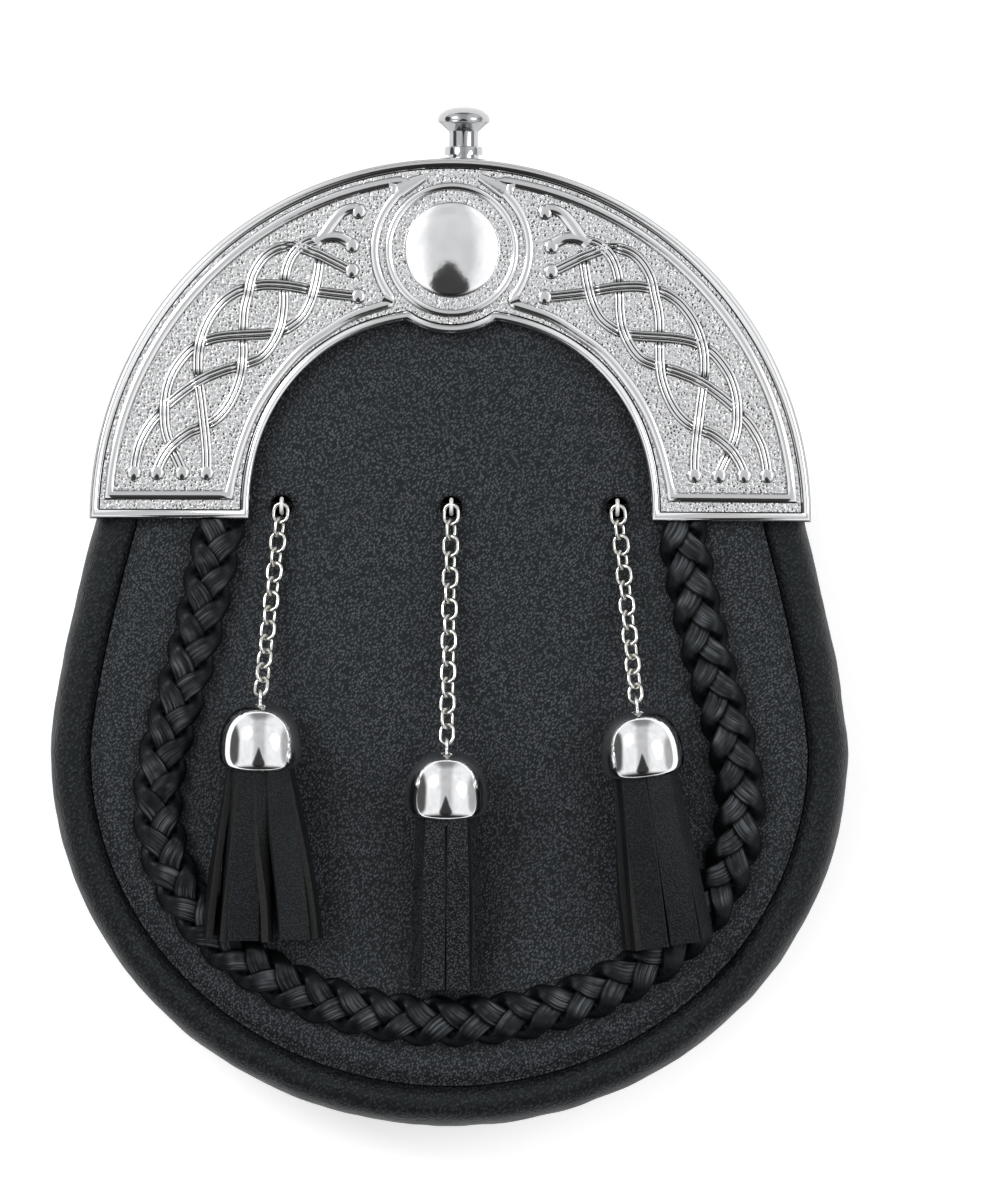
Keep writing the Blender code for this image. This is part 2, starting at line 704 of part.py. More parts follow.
def make_cantle(chrome):
    """The cast front: plate, rim, borders, medallion and interlace, with a deep flange round the outside."""
    edge = cantle_outline()
    plate = slab("cantle", edge, FACE_LEVEL - CANTLE_WALL, FACE_LEVEL, chrome)
    foot = POUCH_DEPTH + GAP
    half, top = RIM_WIDTH / 2, RIM_WIDTH / 2 * RIM_TOP_SHARE
    rim = ((-half, foot), (half, foot), (top, FACE_LEVEL + RIM_HEIGHT), (-top, FACE_LEVEL + RIM_HEIGHT))
    rim_line = shifted(edge, -RIM_INSET, True)
    pieces = [make_flange(chrome), moulding("rim", rim_line, rim, True, chrome)]
    right_border = border_outline()
    left_border = [Vector((-p.x, p.y)) for p in right_border]
    for line in (right_border, left_border):
        pieces.append(moulding("border", line, raised(BORDER_WIDTH, BORDER_HEIGHT), True, chrome))
    pieces += make_medallion(chrome)
    for side in (-1, 1):
        for row in STRANDS:
            pieces += make_strand(row, side, chrome)
    combine(plate, pieces)
    reach = CANTLE_RADIUS + FLANGE_FLARE
    hole = ((0, 0), (knob_bore(), 0), (knob_bore(), 2 * FLANGE_WALL + KNOB_HEAD_HEIGHT))
    hole += ((0, 2 * FLANGE_WALL + KNOB_HEAD_HEIGHT),)
    place = along_y(KNOB_OFFSET, reach - 2 * FLANGE_WALL - KNOB_DISC_THICKNESS, KNOB_LEVEL)
    return combine(plate, [turned("knob_hole", hole, KNOB_SIDES, place, chrome)], "DIFFERENCE")


# The knob and the strap tabs


def knob_bore():
    return KNOB_STEM_RADIUS + GAP


def knob_seat():
    """Distance from the origin of the flange's outer face under the knob."""
    return math.sqrt(flange_radius(KNOB_LEVEL - COLLAR_RADIUS) ** 2 - KNOB_OFFSET**2)


def make_collar(chrome):
    """The ring that guides the knob's stem, seated on the flange."""
    low = GAP
    high = low + COLLAR_HEIGHT
    profile = ((knob_bore(), low), (COLLAR_RADIUS, low), (COLLAR_RADIUS, high), (knob_bore(), high))
    return turned("knob_collar", profile, KNOB_SIDES, along_y(KNOB_OFFSET, knob_seat(), KNOB_LEVEL), chrome)


def make_knob(chrome):
    """A press knob: a head outside, and a disc inside the flange that keeps it in."""
    reach = abs(KNOB_OFFSET) + KNOB_DISC_RADIUS
    inner_wall = math.sqrt((flange_radius(KNOB_LEVEL + KNOB_DISC_RADIUS) - FLANGE_WALL) ** 2 - reach**2)
    disc_high = inner_wall - knob_seat() - GAP
    disc_low = disc_high - KNOB_DISC_THICKNESS
    head_low = GAP + COLLAR_HEIGHT + KNOB_NECK
    profile = [
        (0, disc_low),
        (KNOB_DISC_RADIUS, disc_low),
        (KNOB_DISC_RADIUS, disc_high),
        (KNOB_STEM_RADIUS, disc_high),
        (KNOB_STEM_RADIUS, head_low),
    ]
    profile += [(KNOB_HEAD_RADIUS * r, head_low + KNOB_HEAD_HEIGHT * h) for r, h in KNOB_HEAD_ROWS]
    profile.append((0, head_low + KNOB_HEAD_HEIGHT))
    return turned("knob", profile, KNOB_SIDES, along_y(KNOB_OFFSET, knob_seat(), KNOB_LEVEL), chrome)


def make_strap_tab(name, side, chrome):
    """A flat plate inside the flange, with a slot behind the flange's rear edge for the strap's hook."""
    columns = (-TAB_WIDTH / 2, -TAB_SLOT_WIDTH / 2, 0.0, TAB_SLOT_WIDTH / 2, TAB_WIDTH / 2)
    rows = (TAB_FOOT, TAB_FOOT + TAB_BAR, TAB_FOOT + TAB_BAR + TAB_SLOT_HEIGHT, TAB_FOOT + TAB_LENGTH)
    flange_inside = (flange_radius(rows[-1]) - FLANGE_WALL) * math.cos(math.pi / 2 / ARC_STEPS)
    seat = math.sqrt((flange_inside - GAP) ** 2 - (TAB_WIDTH / 2) ** 2)
    outwards, sideways = polar(1, TAB_ANGLE), polar(1, TAB_ANGLE + 90)
    points, faces = [], []
    for row in rows:
        for column in columns:
            spot = outwards * seat + sideways * column
            points.append(Vector((side * spot.x, spot.y, row)))
    across = len(columns)
    for row in range(len(rows) - 1):
        for column in range(across - 1):
            in_slot = row == 1 and column in (1, 2)
            if not in_slot:
                corner = row * across + column
                face = (corner, corner + 1, corner + across + 1, corner + across)
                faces.append(face if side > 0 else face[::-1])
    mesh = bpy.data.meshes.new(name)
    mesh.from_pydata(points, [], faces)
    mesh.materials.append(chrome)
    tab = bpy.data.objects.new(name, mesh)
    bpy.context.scene.collection.objects.link(tab)
    wall = tab.modifiers.new("wall", "SOLIDIFY")
    wall.thickness = TAB_THICKNESS
    wall.offset = -1.0
    return tab


# The chains and tassels


def oval_ring(name, centre, along, across, half_length, half_width, finish):
    """A closed ring of wire."""
    normal = along.cross(across)
    steps, sides = 10, 5
    rings = []
    for step in range(steps):
        angle = 2 * math.pi * step / steps
        cosine, sine = math.cos(angle), math.sin(angle)
        spot = centre + along * (half_length * cosine) + across * (half_width * sine)
        out = (along * (half_width * cosine) + across * (half_length * sine)).normalized()
        ring = []
        for i in range(sides):
            turn = 2 * math.pi * i / sides
            ring.append(spot + (out * math.cos(turn) + normal * math.sin(turn)) * LINK_WIRE_RADIUS)
        rings.append(ring)
    return skin(name, rings, True, finish)


def cap_place(tassel, skin_tree):
    """The place of a tassel. Its own Z runs from the cap's top down the tassel, its own Y out of the panel."""
    _, _, cap_x, cap_drop, lean, _, _ = tassel
    turn = math.radians(lean)
    way = Vector((math.sin(turn), -math.cos(turn), 0))
    middle = Vector((cap_x, -cap_drop, 0)) + way * (CAP_HEIGHT / 2)
    highest = max(
        panel_level(skin_tree, middle.x + dx, middle.y + dy)
        for dx in (-CAP_RADIUS / 2, 0, CAP_RADIUS / 2)
        for dy in (-CAP_HEIGHT / 2, 0, CAP_HEIGHT / 2)
    )
    side = Vector((0, 0, 1)).cross(way)
    place = Matrix((side, Vector((0, 0, 1)), way)).transposed().to_4x4()
    place.translation = (cap_x, -cap_drop, highest + CAP_RADIUS + GAP)
    return place


def make_cap(name, place, chrome):
    """A hollow bell, closed on top, with a wire eye for the chain's last link."""
    wall = CAP_WALL
    profile = [(CAP_RADIUS * r, CAP_HEIGHT * h) for r, h in CAP_OUTER_ROWS]
    for r, h in CAP_INNER_ROWS:
        profile.append((max(0.0, CAP_RADIUS * r - wall), CAP_HEIGHT * h + wall * (h < 0.5)))
    bell = turned(name, profile, CAP_SIDES, place, chrome)
    centre = place @ Vector((0, 0, LINK_WIRE_RADIUS - EYE_RADIUS))
    along, up = place.to_3x3() @ Vector((0, 0, 1)), Vector((0, 0, 1))
    eye = oval_ring("eye", centre, along, up, EYE_RADIUS, EYE_RADIUS, chrome)
    return combine(bell, [eye])


def make_tassel(name, tassel, place, skin_tree, leather):
    """Strips cut from one rolled piece of leather, fused to the head that the cap holds."""
    _, _, _, _, _, spread, end_height = tassel
    top, foot = (CAP_HEIGHT * share for share in HEAD_RUN)
    profile = ((0, top), (HEAD_RADIUS, top), (HEAD_RADIUS, foot), (0, foot))
    head = turned(name, profile, CAP_SIDES, place, leather)
    end = place @ Vector((0, 0, TASSEL_LENGTH))
    drop = panel_level(skin_tree, end.x, end.y) + end_height - place.translation.z
    ring_radius = HEAD_RADIUS - STRIP_THICKNESS * STRIP_BITE
    strips = []
    for i in range(STRIP_COUNT):
        angle = 2 * math.pi * (i + 0.5) / STRIP_COUNT + math.pi / 2
        rings = []
        for along, share in STRIP_ROWS:
            wide = blend(ring_radius, spread, share)
            high = blend(ring_radius, ring_radius * STRIP_END_FLATTEN, share)
            across, level = wide * math.cos(angle), high * math.sin(angle) + drop * share
            spot = Vector((across, level, TASSEL_LENGTH * along))
            out = Vector((high * math.cos(angle), wide * math.sin(angle), 0)).normalized()
            flat = Vector((-out.y, out.x, 0))
            half = STRIP_WIDTH / 2 * blend(STRIP_TOP_SHARE, 1.0, share)
            ring = []
            for u, v in ((-1, -1), (1, -1), (1, 1), (-1, 1)):
                ring.append(place @ (spot + flat * (u * half) + out * (v * STRIP_THICKNESS / 2)))
            rings.append(ring)
        strips.append(skin("strip", rings, False, leather))
        cut_to_triangles(strips[-1])
    return merge_flat(combine(head, strips))


def make_chain(name, tassel, place, skin_tree, chrome):
    """Oval links from a bar behind the panel to the eye on the cap, fused where they hang together."""
    hole_x = tassel[1]
    grip = LINK_WIRE_RADIUS - LINK_OVERLAP / 2
    start = Vector((hole_x, HOLE_LEVEL, panel_level(skin_tree, hole_x, HOLE_LEVEL) + CHAIN_LIE))
    eye_tip = place @ Vector((0, 0, LINK_WIRE_RADIUS - 2 * EYE_RADIUS))
    end = eye_tip + place.to_3x3() @ Vector((0, 0, 2 * LINK_WIRE_RADIUS + GAP - grip))

    def contact(share):
        spot = start.lerp(end, share)
        floor = panel_level(skin_tree, spot.x, spot.y) + CHAIN_LIE
        spot.z = blend(floor, end.z, share**CHAIN_SAG)
        return spot

    marks = [contact(i / SAG_STEPS) for i in range(SAG_STEPS + 1)]
    length = sum((b - a).length for a, b in zip(marks, marks[1:]))
    count = max(3, 2 * round((length / LINK_PITCH - 1) / 2) + 1)
    spots = [contact(i / count) for i in range(count + 1)]
    links = []
    for i, (a, b) in enumerate(zip(spots, spots[1:])):
        along = (b - a).normalized()
        side = along.cross(Vector((0, 0, 1))).normalized()
        roll = math.radians(LINK_EDGE_ROLL if i % 2 else LINK_FLAT_ROLL)
        across = Matrix.Rotation(roll, 3, along) @ side
        half = (b - a).length / 2 + grip
        links.append(oval_ring("link", (a + b) / 2, along, across, half, LINK_HALF_WIDTH, chrome))
    under = POUCH_DEPTH - PANEL_THICKNESS + start.z - CHAIN_LIE - POUCH_DEPTH - GAP - ANCHOR_RADIUS
    top = start.z + grip
    foot = under - ANCHOR_RADIUS - grip
    centre = Vector((start.x, start.y, (top + foot) / 2))
    up, way = Vector((0, 0, 1)), Vector((0, -1, 0))
    staple = oval_ring(name, centre, up, way, (top - foot) / 2, LINK_HALF_WIDTH, chrome)
    reach = ANCHOR_LENGTH / 2
    bar_profile = ((0, -reach), (ANCHOR_RADIUS, -reach), (ANCHOR_RADIUS, reach), (0, reach))
    bar_place = Matrix.Translation((start.x, start.y, under)) @ Matrix.Rotation(math.pi / 2, 4, "Y")
    bar = turned("anchor", bar_profile, ANCHOR_SIDES, bar_place, chrome)
    return combine(staple, [*links, bar], weld=CHAIN_WELD)


def main():
    for old in list(bpy.data.objects):
        bpy.data.objects.remove(old)
    chrome = make_material("chrome", (0.78, 0.79, 0.80), 1.0, 0.12)
    leather = make_material("black_leather", (0.020, 0.021, 0.023), 0.0, 0.5)
    lacing = make_material("lacing_leather", (0.012, 0.013, 0.014), 0.0, 0.35)
    suede = make_material("tassel_leather", (0.028, 0.029, 0.031), 0.0, 0.6)
    make_back_panel(leather)
    make_gusset(leather)
    skin_tree = make_front_panel(leather)
    make_band(lacing)
    make_cantle(chrome)
    make_collar(chrome)
    make_knob(chrome)
    make_strap_tab("strap_tab_left", -1, chrome)
    make_strap_tab("strap_tab_right", 1, chrome)
    for tassel in TASSELS:
        name = tassel[0]
        place = cap_place(tassel, skin_tree)
        make_cap(f"tassel_cap_{name}", place, chrome)
        make_tassel(f"tassel_{name}", tassel, place, skin_tree, suede)
        make_chain(f"chain_{name}", tassel, place, skin_tree, chrome)


main()
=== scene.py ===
"""The looks of a kilt pouch: grained black leather, a bright cast cantle with stippled ground and interlace,
a plaited band, and leather tassels under chromed bells on chains.

Everything is in metres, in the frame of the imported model.
"""

import json
import math

import bmesh
import bpy
import numpy as np
from mathutils import Matrix, Vector, noise

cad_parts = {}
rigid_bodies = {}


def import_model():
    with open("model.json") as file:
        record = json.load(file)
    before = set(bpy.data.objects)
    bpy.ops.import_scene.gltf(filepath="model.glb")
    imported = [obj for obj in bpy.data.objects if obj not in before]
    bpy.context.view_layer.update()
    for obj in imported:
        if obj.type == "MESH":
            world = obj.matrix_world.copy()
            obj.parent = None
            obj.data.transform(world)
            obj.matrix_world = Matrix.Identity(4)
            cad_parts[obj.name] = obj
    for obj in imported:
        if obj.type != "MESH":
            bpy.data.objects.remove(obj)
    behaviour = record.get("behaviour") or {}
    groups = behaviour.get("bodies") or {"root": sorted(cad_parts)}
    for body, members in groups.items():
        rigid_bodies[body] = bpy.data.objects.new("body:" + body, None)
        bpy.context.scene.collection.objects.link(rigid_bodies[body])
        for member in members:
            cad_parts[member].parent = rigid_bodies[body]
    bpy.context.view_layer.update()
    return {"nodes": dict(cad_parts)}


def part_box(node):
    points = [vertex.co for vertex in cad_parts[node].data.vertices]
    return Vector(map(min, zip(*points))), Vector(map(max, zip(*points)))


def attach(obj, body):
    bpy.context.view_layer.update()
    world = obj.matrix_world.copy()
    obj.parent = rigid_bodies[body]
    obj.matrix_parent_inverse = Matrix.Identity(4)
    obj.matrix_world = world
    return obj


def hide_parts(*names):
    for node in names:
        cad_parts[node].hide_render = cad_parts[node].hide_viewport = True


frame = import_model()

MM = 0.001
UP = Vector((0, 0, 1))
MERGE_REACH = 0.0005 * MM
CREASE = 38.0  # degrees past which an edge is shaded sharp
KNOT_STEPS = 14  # points of a smooth line between two knots

# The photograph: its size in pixels, the pixel of the origin, and the real size of a pixel
PHOTO_SIZE = (983, 1200)
PHOTO_ORIGIN = (450.0, 520.0)
PIXEL = 0.2236 * MM

# The pouch, as the CAD has it
CANTLE_RADIUS = 80.8 * MM
SHOULDER_RADIUS = 79.2 * MM
BELLY_HALF_WIDTH = 89.4 * MM
BELLY_DROP = 52.0 * MM
BOTTOM_DROP = 135.8 * MM
FLARE_POWER = 1.4
TUCK_ANGLE = 20.0
POUCH_DEPTH = 32.0 * MM
PANEL_THICKNESS = 2.0 * MM
BACK_THICKNESS = 2.0 * MM
BACK_INSET = 0.9 * MM
GUSSET_WALL = 1.8 * MM
CROWN_HEIGHT = 2.0 * MM
CROWN_REACH = 0.66
PANEL_MIDDLE = Vector((0.0, -40.0 * MM))
ROLL_WIDTH = 10.0 * MM
ROLL_WIDTH_AT_CANTLE = 10.0 * MM
ROLL_CREST = 0.9 * MM
CREST_RUN = 25.0 * MM
ROLL_GROOVE = 0.10
GAP = 0.3 * MM
STITCH_INSET = 4.2 * MM

# Steps of the outline in its tuck, flare and bowl, and the spacing of points round the two flat panels
ROLL_STEPS = (14, 70, 150)
FRONT_STEPS = (8, 40, 90)
BACK_STEPS = (10, 50, 110)
FRONT_SPACING = 1.5 * MM
BACK_SPACING = 1.6 * MM
FRONT_RINGS = 62
FRONT_EDGE_SHARES = (1.0, 0.994, 0.985, 0.975, 0.96)
FRONT_FIELD_SHARE = 0.94

# Size and amount of the leather's unevenness: on the roll, then over the front panel
ROLL_WAVE = (9 * MM, 0.28 * MM)
ROLL_DENTS = (3.5 * MM, 0.1 * MM)
PANEL_WAVE = (30 * MM, 0.35 * MM)
PANEL_DENTS = (11 * MM, 0.08 * MM)

# The cantle
FACE = 35.0 * MM  # level of its ground
PLATE_WALL = 1.4 * MM
PLATE_RADIUS = 80.3 * MM
FLANGE_TOP = 35.2 * MM
FLANGE_REAR = 10.5 * MM
FLANGE_WALL = 1.2 * MM
FLANGE_FLARE = 1.2 * MM
ARCH_HALF_WIDTH = 45.0 * MM
ARCH_HEIGHT = 45.2 * MM
ARCH_POWER = 2.25
MEDAL_CENTRE = Vector((0.0, 60.2 * MM))
LOBE_RADIUS = 18.6 * MM
RING_RADIUS = 14.2 * MM
RING_HALF_WIDTH = 0.92 * MM
RING_HEIGHT = 0.95 * MM
DOME_RADIUS = 10.8 * MM
DOME_HEIGHT = 2.0 * MM
BORDER_RADIUS = 76.4 * MM
BORDER_SIDE_RADIUS = 17.3 * MM
BORDER_HALF_WIDTH = 1.14 * MM
BORDER_HEIGHT = 0.85 * MM
RELIEF_ROOT = 0.4 * MM  # how deep raised work is rooted in the ground
RIBBON_HALF_WIDTH = 1.26 * MM
RIBBON_HEIGHT = 0.72 * MM
CROSS_OVER = 0.10 * MM
CROSS_UNDER = 0.42 * MM
CROSS_REACH = 1.35 * MM
SHADE_REACH = 1.12 * CROSS_REACH
BUD_RADIUS = 1.75 * MM
BUD_HEIGHT = 0.8 * MM

# The chains, bells and tassels
HOLE_LEVEL = 2.9 * MM
HOLE_RADIUS = 2.45 * MM
LINK_WIRE = 0.43 * MM
LINK_HALF_WIDTH = 1.62 * MM
CHAIN_LIE = 2.4 * MM
CHAIN_SAG = 2.4
EYE_RADIUS = 1.5 * MM
BELL_RADIUS = 9.2 * MM
BELL_HEIGHT = 14.1 * MM
TASSEL_LENGTH = 53.3 * MM

# The plaited band
BAND_TOP_HALF_SPAN = 51.2 * MM
BAND_HALF_SPAN = 65.0 * MM
BAND_BELLY_DROP = 64.0 * MM
BAND_BOTTOM_DROP = 112.0 * MM
PLAIT_PERIOD = 23.0 * MM
PLAIT_SWING = 4.1 * MM
PLAIT_RISE = 1.25 * MM
LACE_HALF_WIDTH = 2.6 * MM
LACE_HALF_THICKNESS = 0.62 * MM
LACE_LIFT = 1.95 * MM  # height of the plait's middle above the panel's gap
LACE_STEP = 0.55 * MM
PLAIT_END = -0.2 * MM  # the laces stop here, beside the cantle's edge
LACE_ROLL = 34  # degrees that a lace turns over at the band's edge
LACE_PINCH = 0.28
LACE_FLAT = 0.13  # share of the third wave, which flattens a lace's turn at the band's edge


# Forms: points, faces and marks before they become a mesh


class Form:
    """Points and faces, with the marks that the finishes read at each point."""

    MARKS = ("across", "along", "tone")

    def __init__(self, points, faces, across=0.0, along=0.0, tone=0.0):
        self.points = np.asarray(points, float).reshape(-1, 3)
        self.faces = faces
        count = len(self.points)
        marks = (across, along, tone)
        self.marks = [np.broadcast_to(np.asarray(mark, float), (count,)).copy() for mark in marks]

    def placed(self, place):
        """The form moved by a matrix."""
        turn = np.array(place.to_3x3())
        self.points = self.points @ turn.T + np.array(place.translation)
        return self

    def mirrored(self):
        """A copy mirrored across the centre line."""
        return Form(self.points * (-1, 1, 1), self.faces, *self.marks)


def join(forms):
    """Several forms as one."""
    points, faces, start = [], [], 0
    for form in forms:
        points.append(form.points)
        faces += [tuple(int(i) + start for i in face) for face in form.faces]
        start += len(form.points)
    marks = [np.concatenate([form.marks[i] for form in forms]) for i in range(len(Form.MARKS))]
    return Form(np.concatenate(points), faces, *marks)


def swept(rings, across=0.0, along=0.0, closed=False, tone=0.0, capped=True):
    """A skin through rings of points, an array of (rings, points, 3). The rings close on themselves."""
    rings = np.asarray(rings, float)
    count, size, _ = rings.shape
    index = np.arange(count * size).reshape(count, size)
    here = index if closed else index[:-1]
    there = np.roll(index, -1, axis=0) if closed else index[1:]
    corners = [here, np.roll(here, -1, axis=1), np.roll(there, -1, axis=1), there]
    faces = [tuple(face) for face in np.stack(corners, axis=-1).reshape(-1, 4).tolist()]
    if capped and not closed:
        faces += [tuple(index[0].tolist()), tuple(index[-1][::-1].tolist())]
    if np.ndim(along):
        along = np.asarray(along, float).reshape(-1, 1)
    given = (np.asarray(mark, float) for mark in (across, along, tone))
    marks = [np.broadcast_to(mark, (count, size)).ravel() for mark in given]
    return Form(rings.reshape(-1, 3), faces, *marks)


def turned(profile, segments, tone=0.0):
    """A turned form about +Z through (radius, height) points, from pole to pole or round a closed ring."""
    profile = np.asarray(profile, float)
    has_poles = profile[0][0] == 0
    angles = np.linspace(0, 2 * math.pi, segments, endpoint=False)
    rings = np.zeros((segments, len(profile), 3))
    rings[:, :, 0] = np.cos(angles)[:, None] * profile[:, 0]
    rings[:, :, 1] = np.sin(angles)[:, None] * profile[:, 0]
    rings[:, :, 2] = profile[:, 1]
    across = np.linspace(0, 1, len(profile))
    form = swept(rings, across=across, closed=True, tone=tone)
    if has_poles:
        size = len(profile)
        form.faces = [face for face in form.faces if not (face[0] % size == size - 1 and face[1] % size == 0)]
    return form


def mend(mesh, extra=None):
    """Joins a second mesh on, merges doubled points and turns all faces outwards."""
    builder = bmesh.new()
    builder.from_mesh(mesh)
    if extra:
        builder.from_mesh(extra)
    bmesh.ops.remove_doubles(builder, verts=builder.verts, dist=MERGE_REACH)
    bmesh.ops.recalc_face_normals(builder, faces=builder.faces)
    builder.to_mesh(mesh)
    builder.free()


def make_piece(name, form, material, body, replaced=(), smooth=CREASE):
    """A closed mesh from a form, seated in the frame."""
    mesh = bpy.data.meshes.new(name)
    mesh.from_pydata(form.points.tolist(), [], form.faces)
    for key, values in zip(Form.MARKS, form.marks):
        layer = mesh.attributes.new(key, "FLOAT", "POINT")
        layer.data.foreach_set("value", values.astype(np.float32))
    mend(mesh)
    mesh.materials.append(material)
    made = bpy.data.objects.new(name, mesh)
    bpy.context.scene.collection.objects.link(made)
    return seat(made, body, replaced, smooth)


def seat(made, body, replaced=(), smooth=CREASE):
    """Shades a finished piece, parents it to the body that it rides on and hides the CAD parts that it stands
    for.
    """
    made.data.shade_smooth()
    made.data.set_sharp_from_angle(angle=math.radians(smooth))
    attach(made, body)
    if replaced:
        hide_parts(*replaced)
    return made


# Lines and sections


def blend(low, high, share):
    """Low at share 0 and high at share 1."""
    return low + (high - low) * share


def ease(share):
    """A soft step from 0 to 1."""
    share = min(1.0, max(0.0, share))
    return share * share * (3 - 2 * share)


def polar(radius, degrees):
    angle = math.radians(degrees)
    return Vector((radius * math.cos(angle), radius * math.sin(angle)))


def from_photo(x, y):
    """The place on the front that a pixel of the photograph shows."""
    return Vector(((x - PHOTO_ORIGIN[0]) * PIXEL, (PHOTO_ORIGIN[1] - y) * PIXEL))


def evenly(points, spacing, closed=False):
    """The points of a line, spread evenly about spacing apart."""
    line = np.array([tuple(p) for p in points], float)
    if closed:
        line = np.vstack([line, line[:1]])
    reach = np.concatenate(([0], np.cumsum(np.linalg.norm(np.diff(line, axis=0), axis=1))))
    count = max(2, round(reach[-1] / spacing))
    marks = np.linspace(0, reach[-1], count + 1)
    even = np.column_stack([np.interp(marks, reach, line[:, axis]) for axis in range(line.shape[1])])
    return even[:-1] if closed else even


def spread(points, count):
    """Count points spread evenly over an open line."""
    line = np.asarray(points, float)
    reach = np.concatenate(([0], np.cumsum(np.linalg.norm(np.diff(line, axis=0), axis=1))))
    marks = np.linspace(0, reach[-1], count)
    return np.column_stack([np.interp(marks, reach, line[:, axis]) for axis in range(line.shape[1])])


def smooth_line(points, spacing, closed=False):
    """A smooth line through a few points, with its own points about spacing apart."""
    knots = np.array([tuple(p) for p in points], float)
    count = len(knots)
    dense = []
    for i in range(count if closed else count - 1):
        here, there = knots[i], knots[(i + 1) % count]
        before = knots[i - 1] if closed or i else 2 * here - there
        after = knots[(i + 2) % count] if closed or i + 2 < count else 2 * there - here
        for s in np.linspace(0, 1, KNOT_STEPS, endpoint=False):
            bend = 2 * before - 5 * here + 4 * there - after
            twist = 3 * here - before - 3 * there + after
            dense.append(0.5 * (2 * here + (there - before) * s + bend * s * s + twist * s**3))
    if not closed:
        dense.append(knots[-1])
    return evenly(dense, spacing, closed)


def side_normals(path, closed):
    """The mitred normals on the right-hand side of a plan path."""
    path = np.asarray(path, float)[:, :2]
    steps = np.roll(path, -1, axis=0) - path
    if not closed:
        steps[-1] = steps[-2]
    ways = steps / np.linalg.norm(steps, axis=1)[:, None]
    sides = np.column_stack([ways[:, 1], -ways[:, 0]])
    before = np.roll(sides, 1, axis=0)
    if not closed:
        before[0] = sides[0]
    scale = 1 + np.sum(before * sides, axis=1)
    return (before + sides) / np.maximum(scale, 0.25)[:, None]


def moulding(path, section, closed=False, widths=1.0, lifts=0.0, tones=0.0):
    """A section of (offset to the right, height, across mark) rows swept along a plan path."""
    path = np.asarray([tuple(p)[:2] for p in path], float)
    section = np.asarray(section, float)
    normals = side_normals(path, closed)
    widths = np.broadcast_to(widths, (len(path),))
    lifts = np.broadcast_to(lifts, (len(path),))
    rings = np.zeros((len(path), len(section), 3))
    offsets = section[None, :, 0] * widths[:, None]
    rings[:, :, :2] = path[:, None, :] + normals[:, None, :] * offsets[:, :, None]
    rings[:, :, 2] = section[None, :, 1] + lifts[:, None]
    steps = np.linalg.norm(np.diff(path, axis=0, prepend=path[:1]), axis=1)
    tones = np.broadcast_to(tones, (len(path),))[:, None]
    return swept(rings, section[:, 2], np.cumsum(steps), closed, tones)


def wire_ring(centre, along, across, half_length, half_width, wire, steps=20, sides=10):
    """A closed oval of wire."""
    centre, along, across = Vector(centre), Vector(along), Vector(across)
    normal = along.cross(across)
    rings = []
    for step in range(steps):
        angle = 2 * math.pi * step / steps
        cosine, sine = math.cos(angle), math.sin(angle)
        spot = centre + along * (half_length * cosine) + across * (half_width * sine)
        out = (along * (half_width * cosine) + across * (half_length * sine)).normalized()
        ring = []
        for i in range(sides):
            turn = 2 * math.pi * i / sides
            ring.append(tuple(spot + (out * math.cos(turn) + normal * math.sin(turn)) * wire))
        rings.append(ring)
    return swept(rings, closed=True)


# Finishes

GRAIN_TURN = math.radians(-57)
GRAIN_STRETCH = (0.62, 1.1, 1.0)
LEATHER_SHEEN = 0.17
COOL_SHEEN = (0.86, 0.97, 1.0, 1.0)

# Colours: the deep ones first, then the painted grey sheen on crests, and the grey of cut edges and thread
DEEP_BLACK = (0.0042, 0.0048, 0.0056)
STRIP_BLACK = (0.0045, 0.005, 0.0058)
LACE_BLACK = (0.003, 0.0032, 0.0036)
FRONT_BLACK = (0.008, 0.009, 0.0104)
BACK_BLACK = (0.010, 0.010, 0.011)
FRONT_CREST_SHEEN = (0.094, 0.101, 0.111)
ROLL_CREST_SHEEN = (0.030, 0.033, 0.037)
BACK_CREST_SHEEN = (0.02, 0.02, 0.022)
LACE_SHINE = (0.125, 0.134, 0.145)
SIDE_STRIP_CREST_SHEEN = (0.028, 0.030, 0.033)
MIDDLE_STRIP_CREST_SHEEN = (0.075, 0.080, 0.087)
CUT_EDGE = ((0.008, 0.008, 0.0076), (0.036, 0.035, 0.033))
THREAD_TONES = ((0.012, 0.012, 0.013), (0.05, 0.05, 0.052))
SILVER = (0.80, 0.805, 0.81)
# A brighter silver for the dome: painted light for the brightness it shows
SILVER_WITH_PAINTED_LIGHT = (0.97, 0.975, 0.98)
LINK_SILVER = (0.66, 0.655, 0.62)
KNOB_SILVER = (0.42, 0.425, 0.43)
OLD_STEEL = (0.035, 0.035, 0.035)
BRUSHED_TONES = ((0.42, 0.43, 0.44), (0.6, 0.61, 0.62))
CAST_TONES = ((0.66, 0.665, 0.67), (0.94, 0.945, 0.95))
# Painted shade for the metal's dark lines and the crossings of the interlace
PAINTED_SHADE = (0.03, 0.03, 0.032)
# Painted shade in the bottoms of the stippled ground's pits
PAINTED_PIT_SHADE = (0.012, 0.012, 0.012)
PAPER_TONES = ((0.86, 0.86, 0.86), (0.9, 0.9, 0.9))


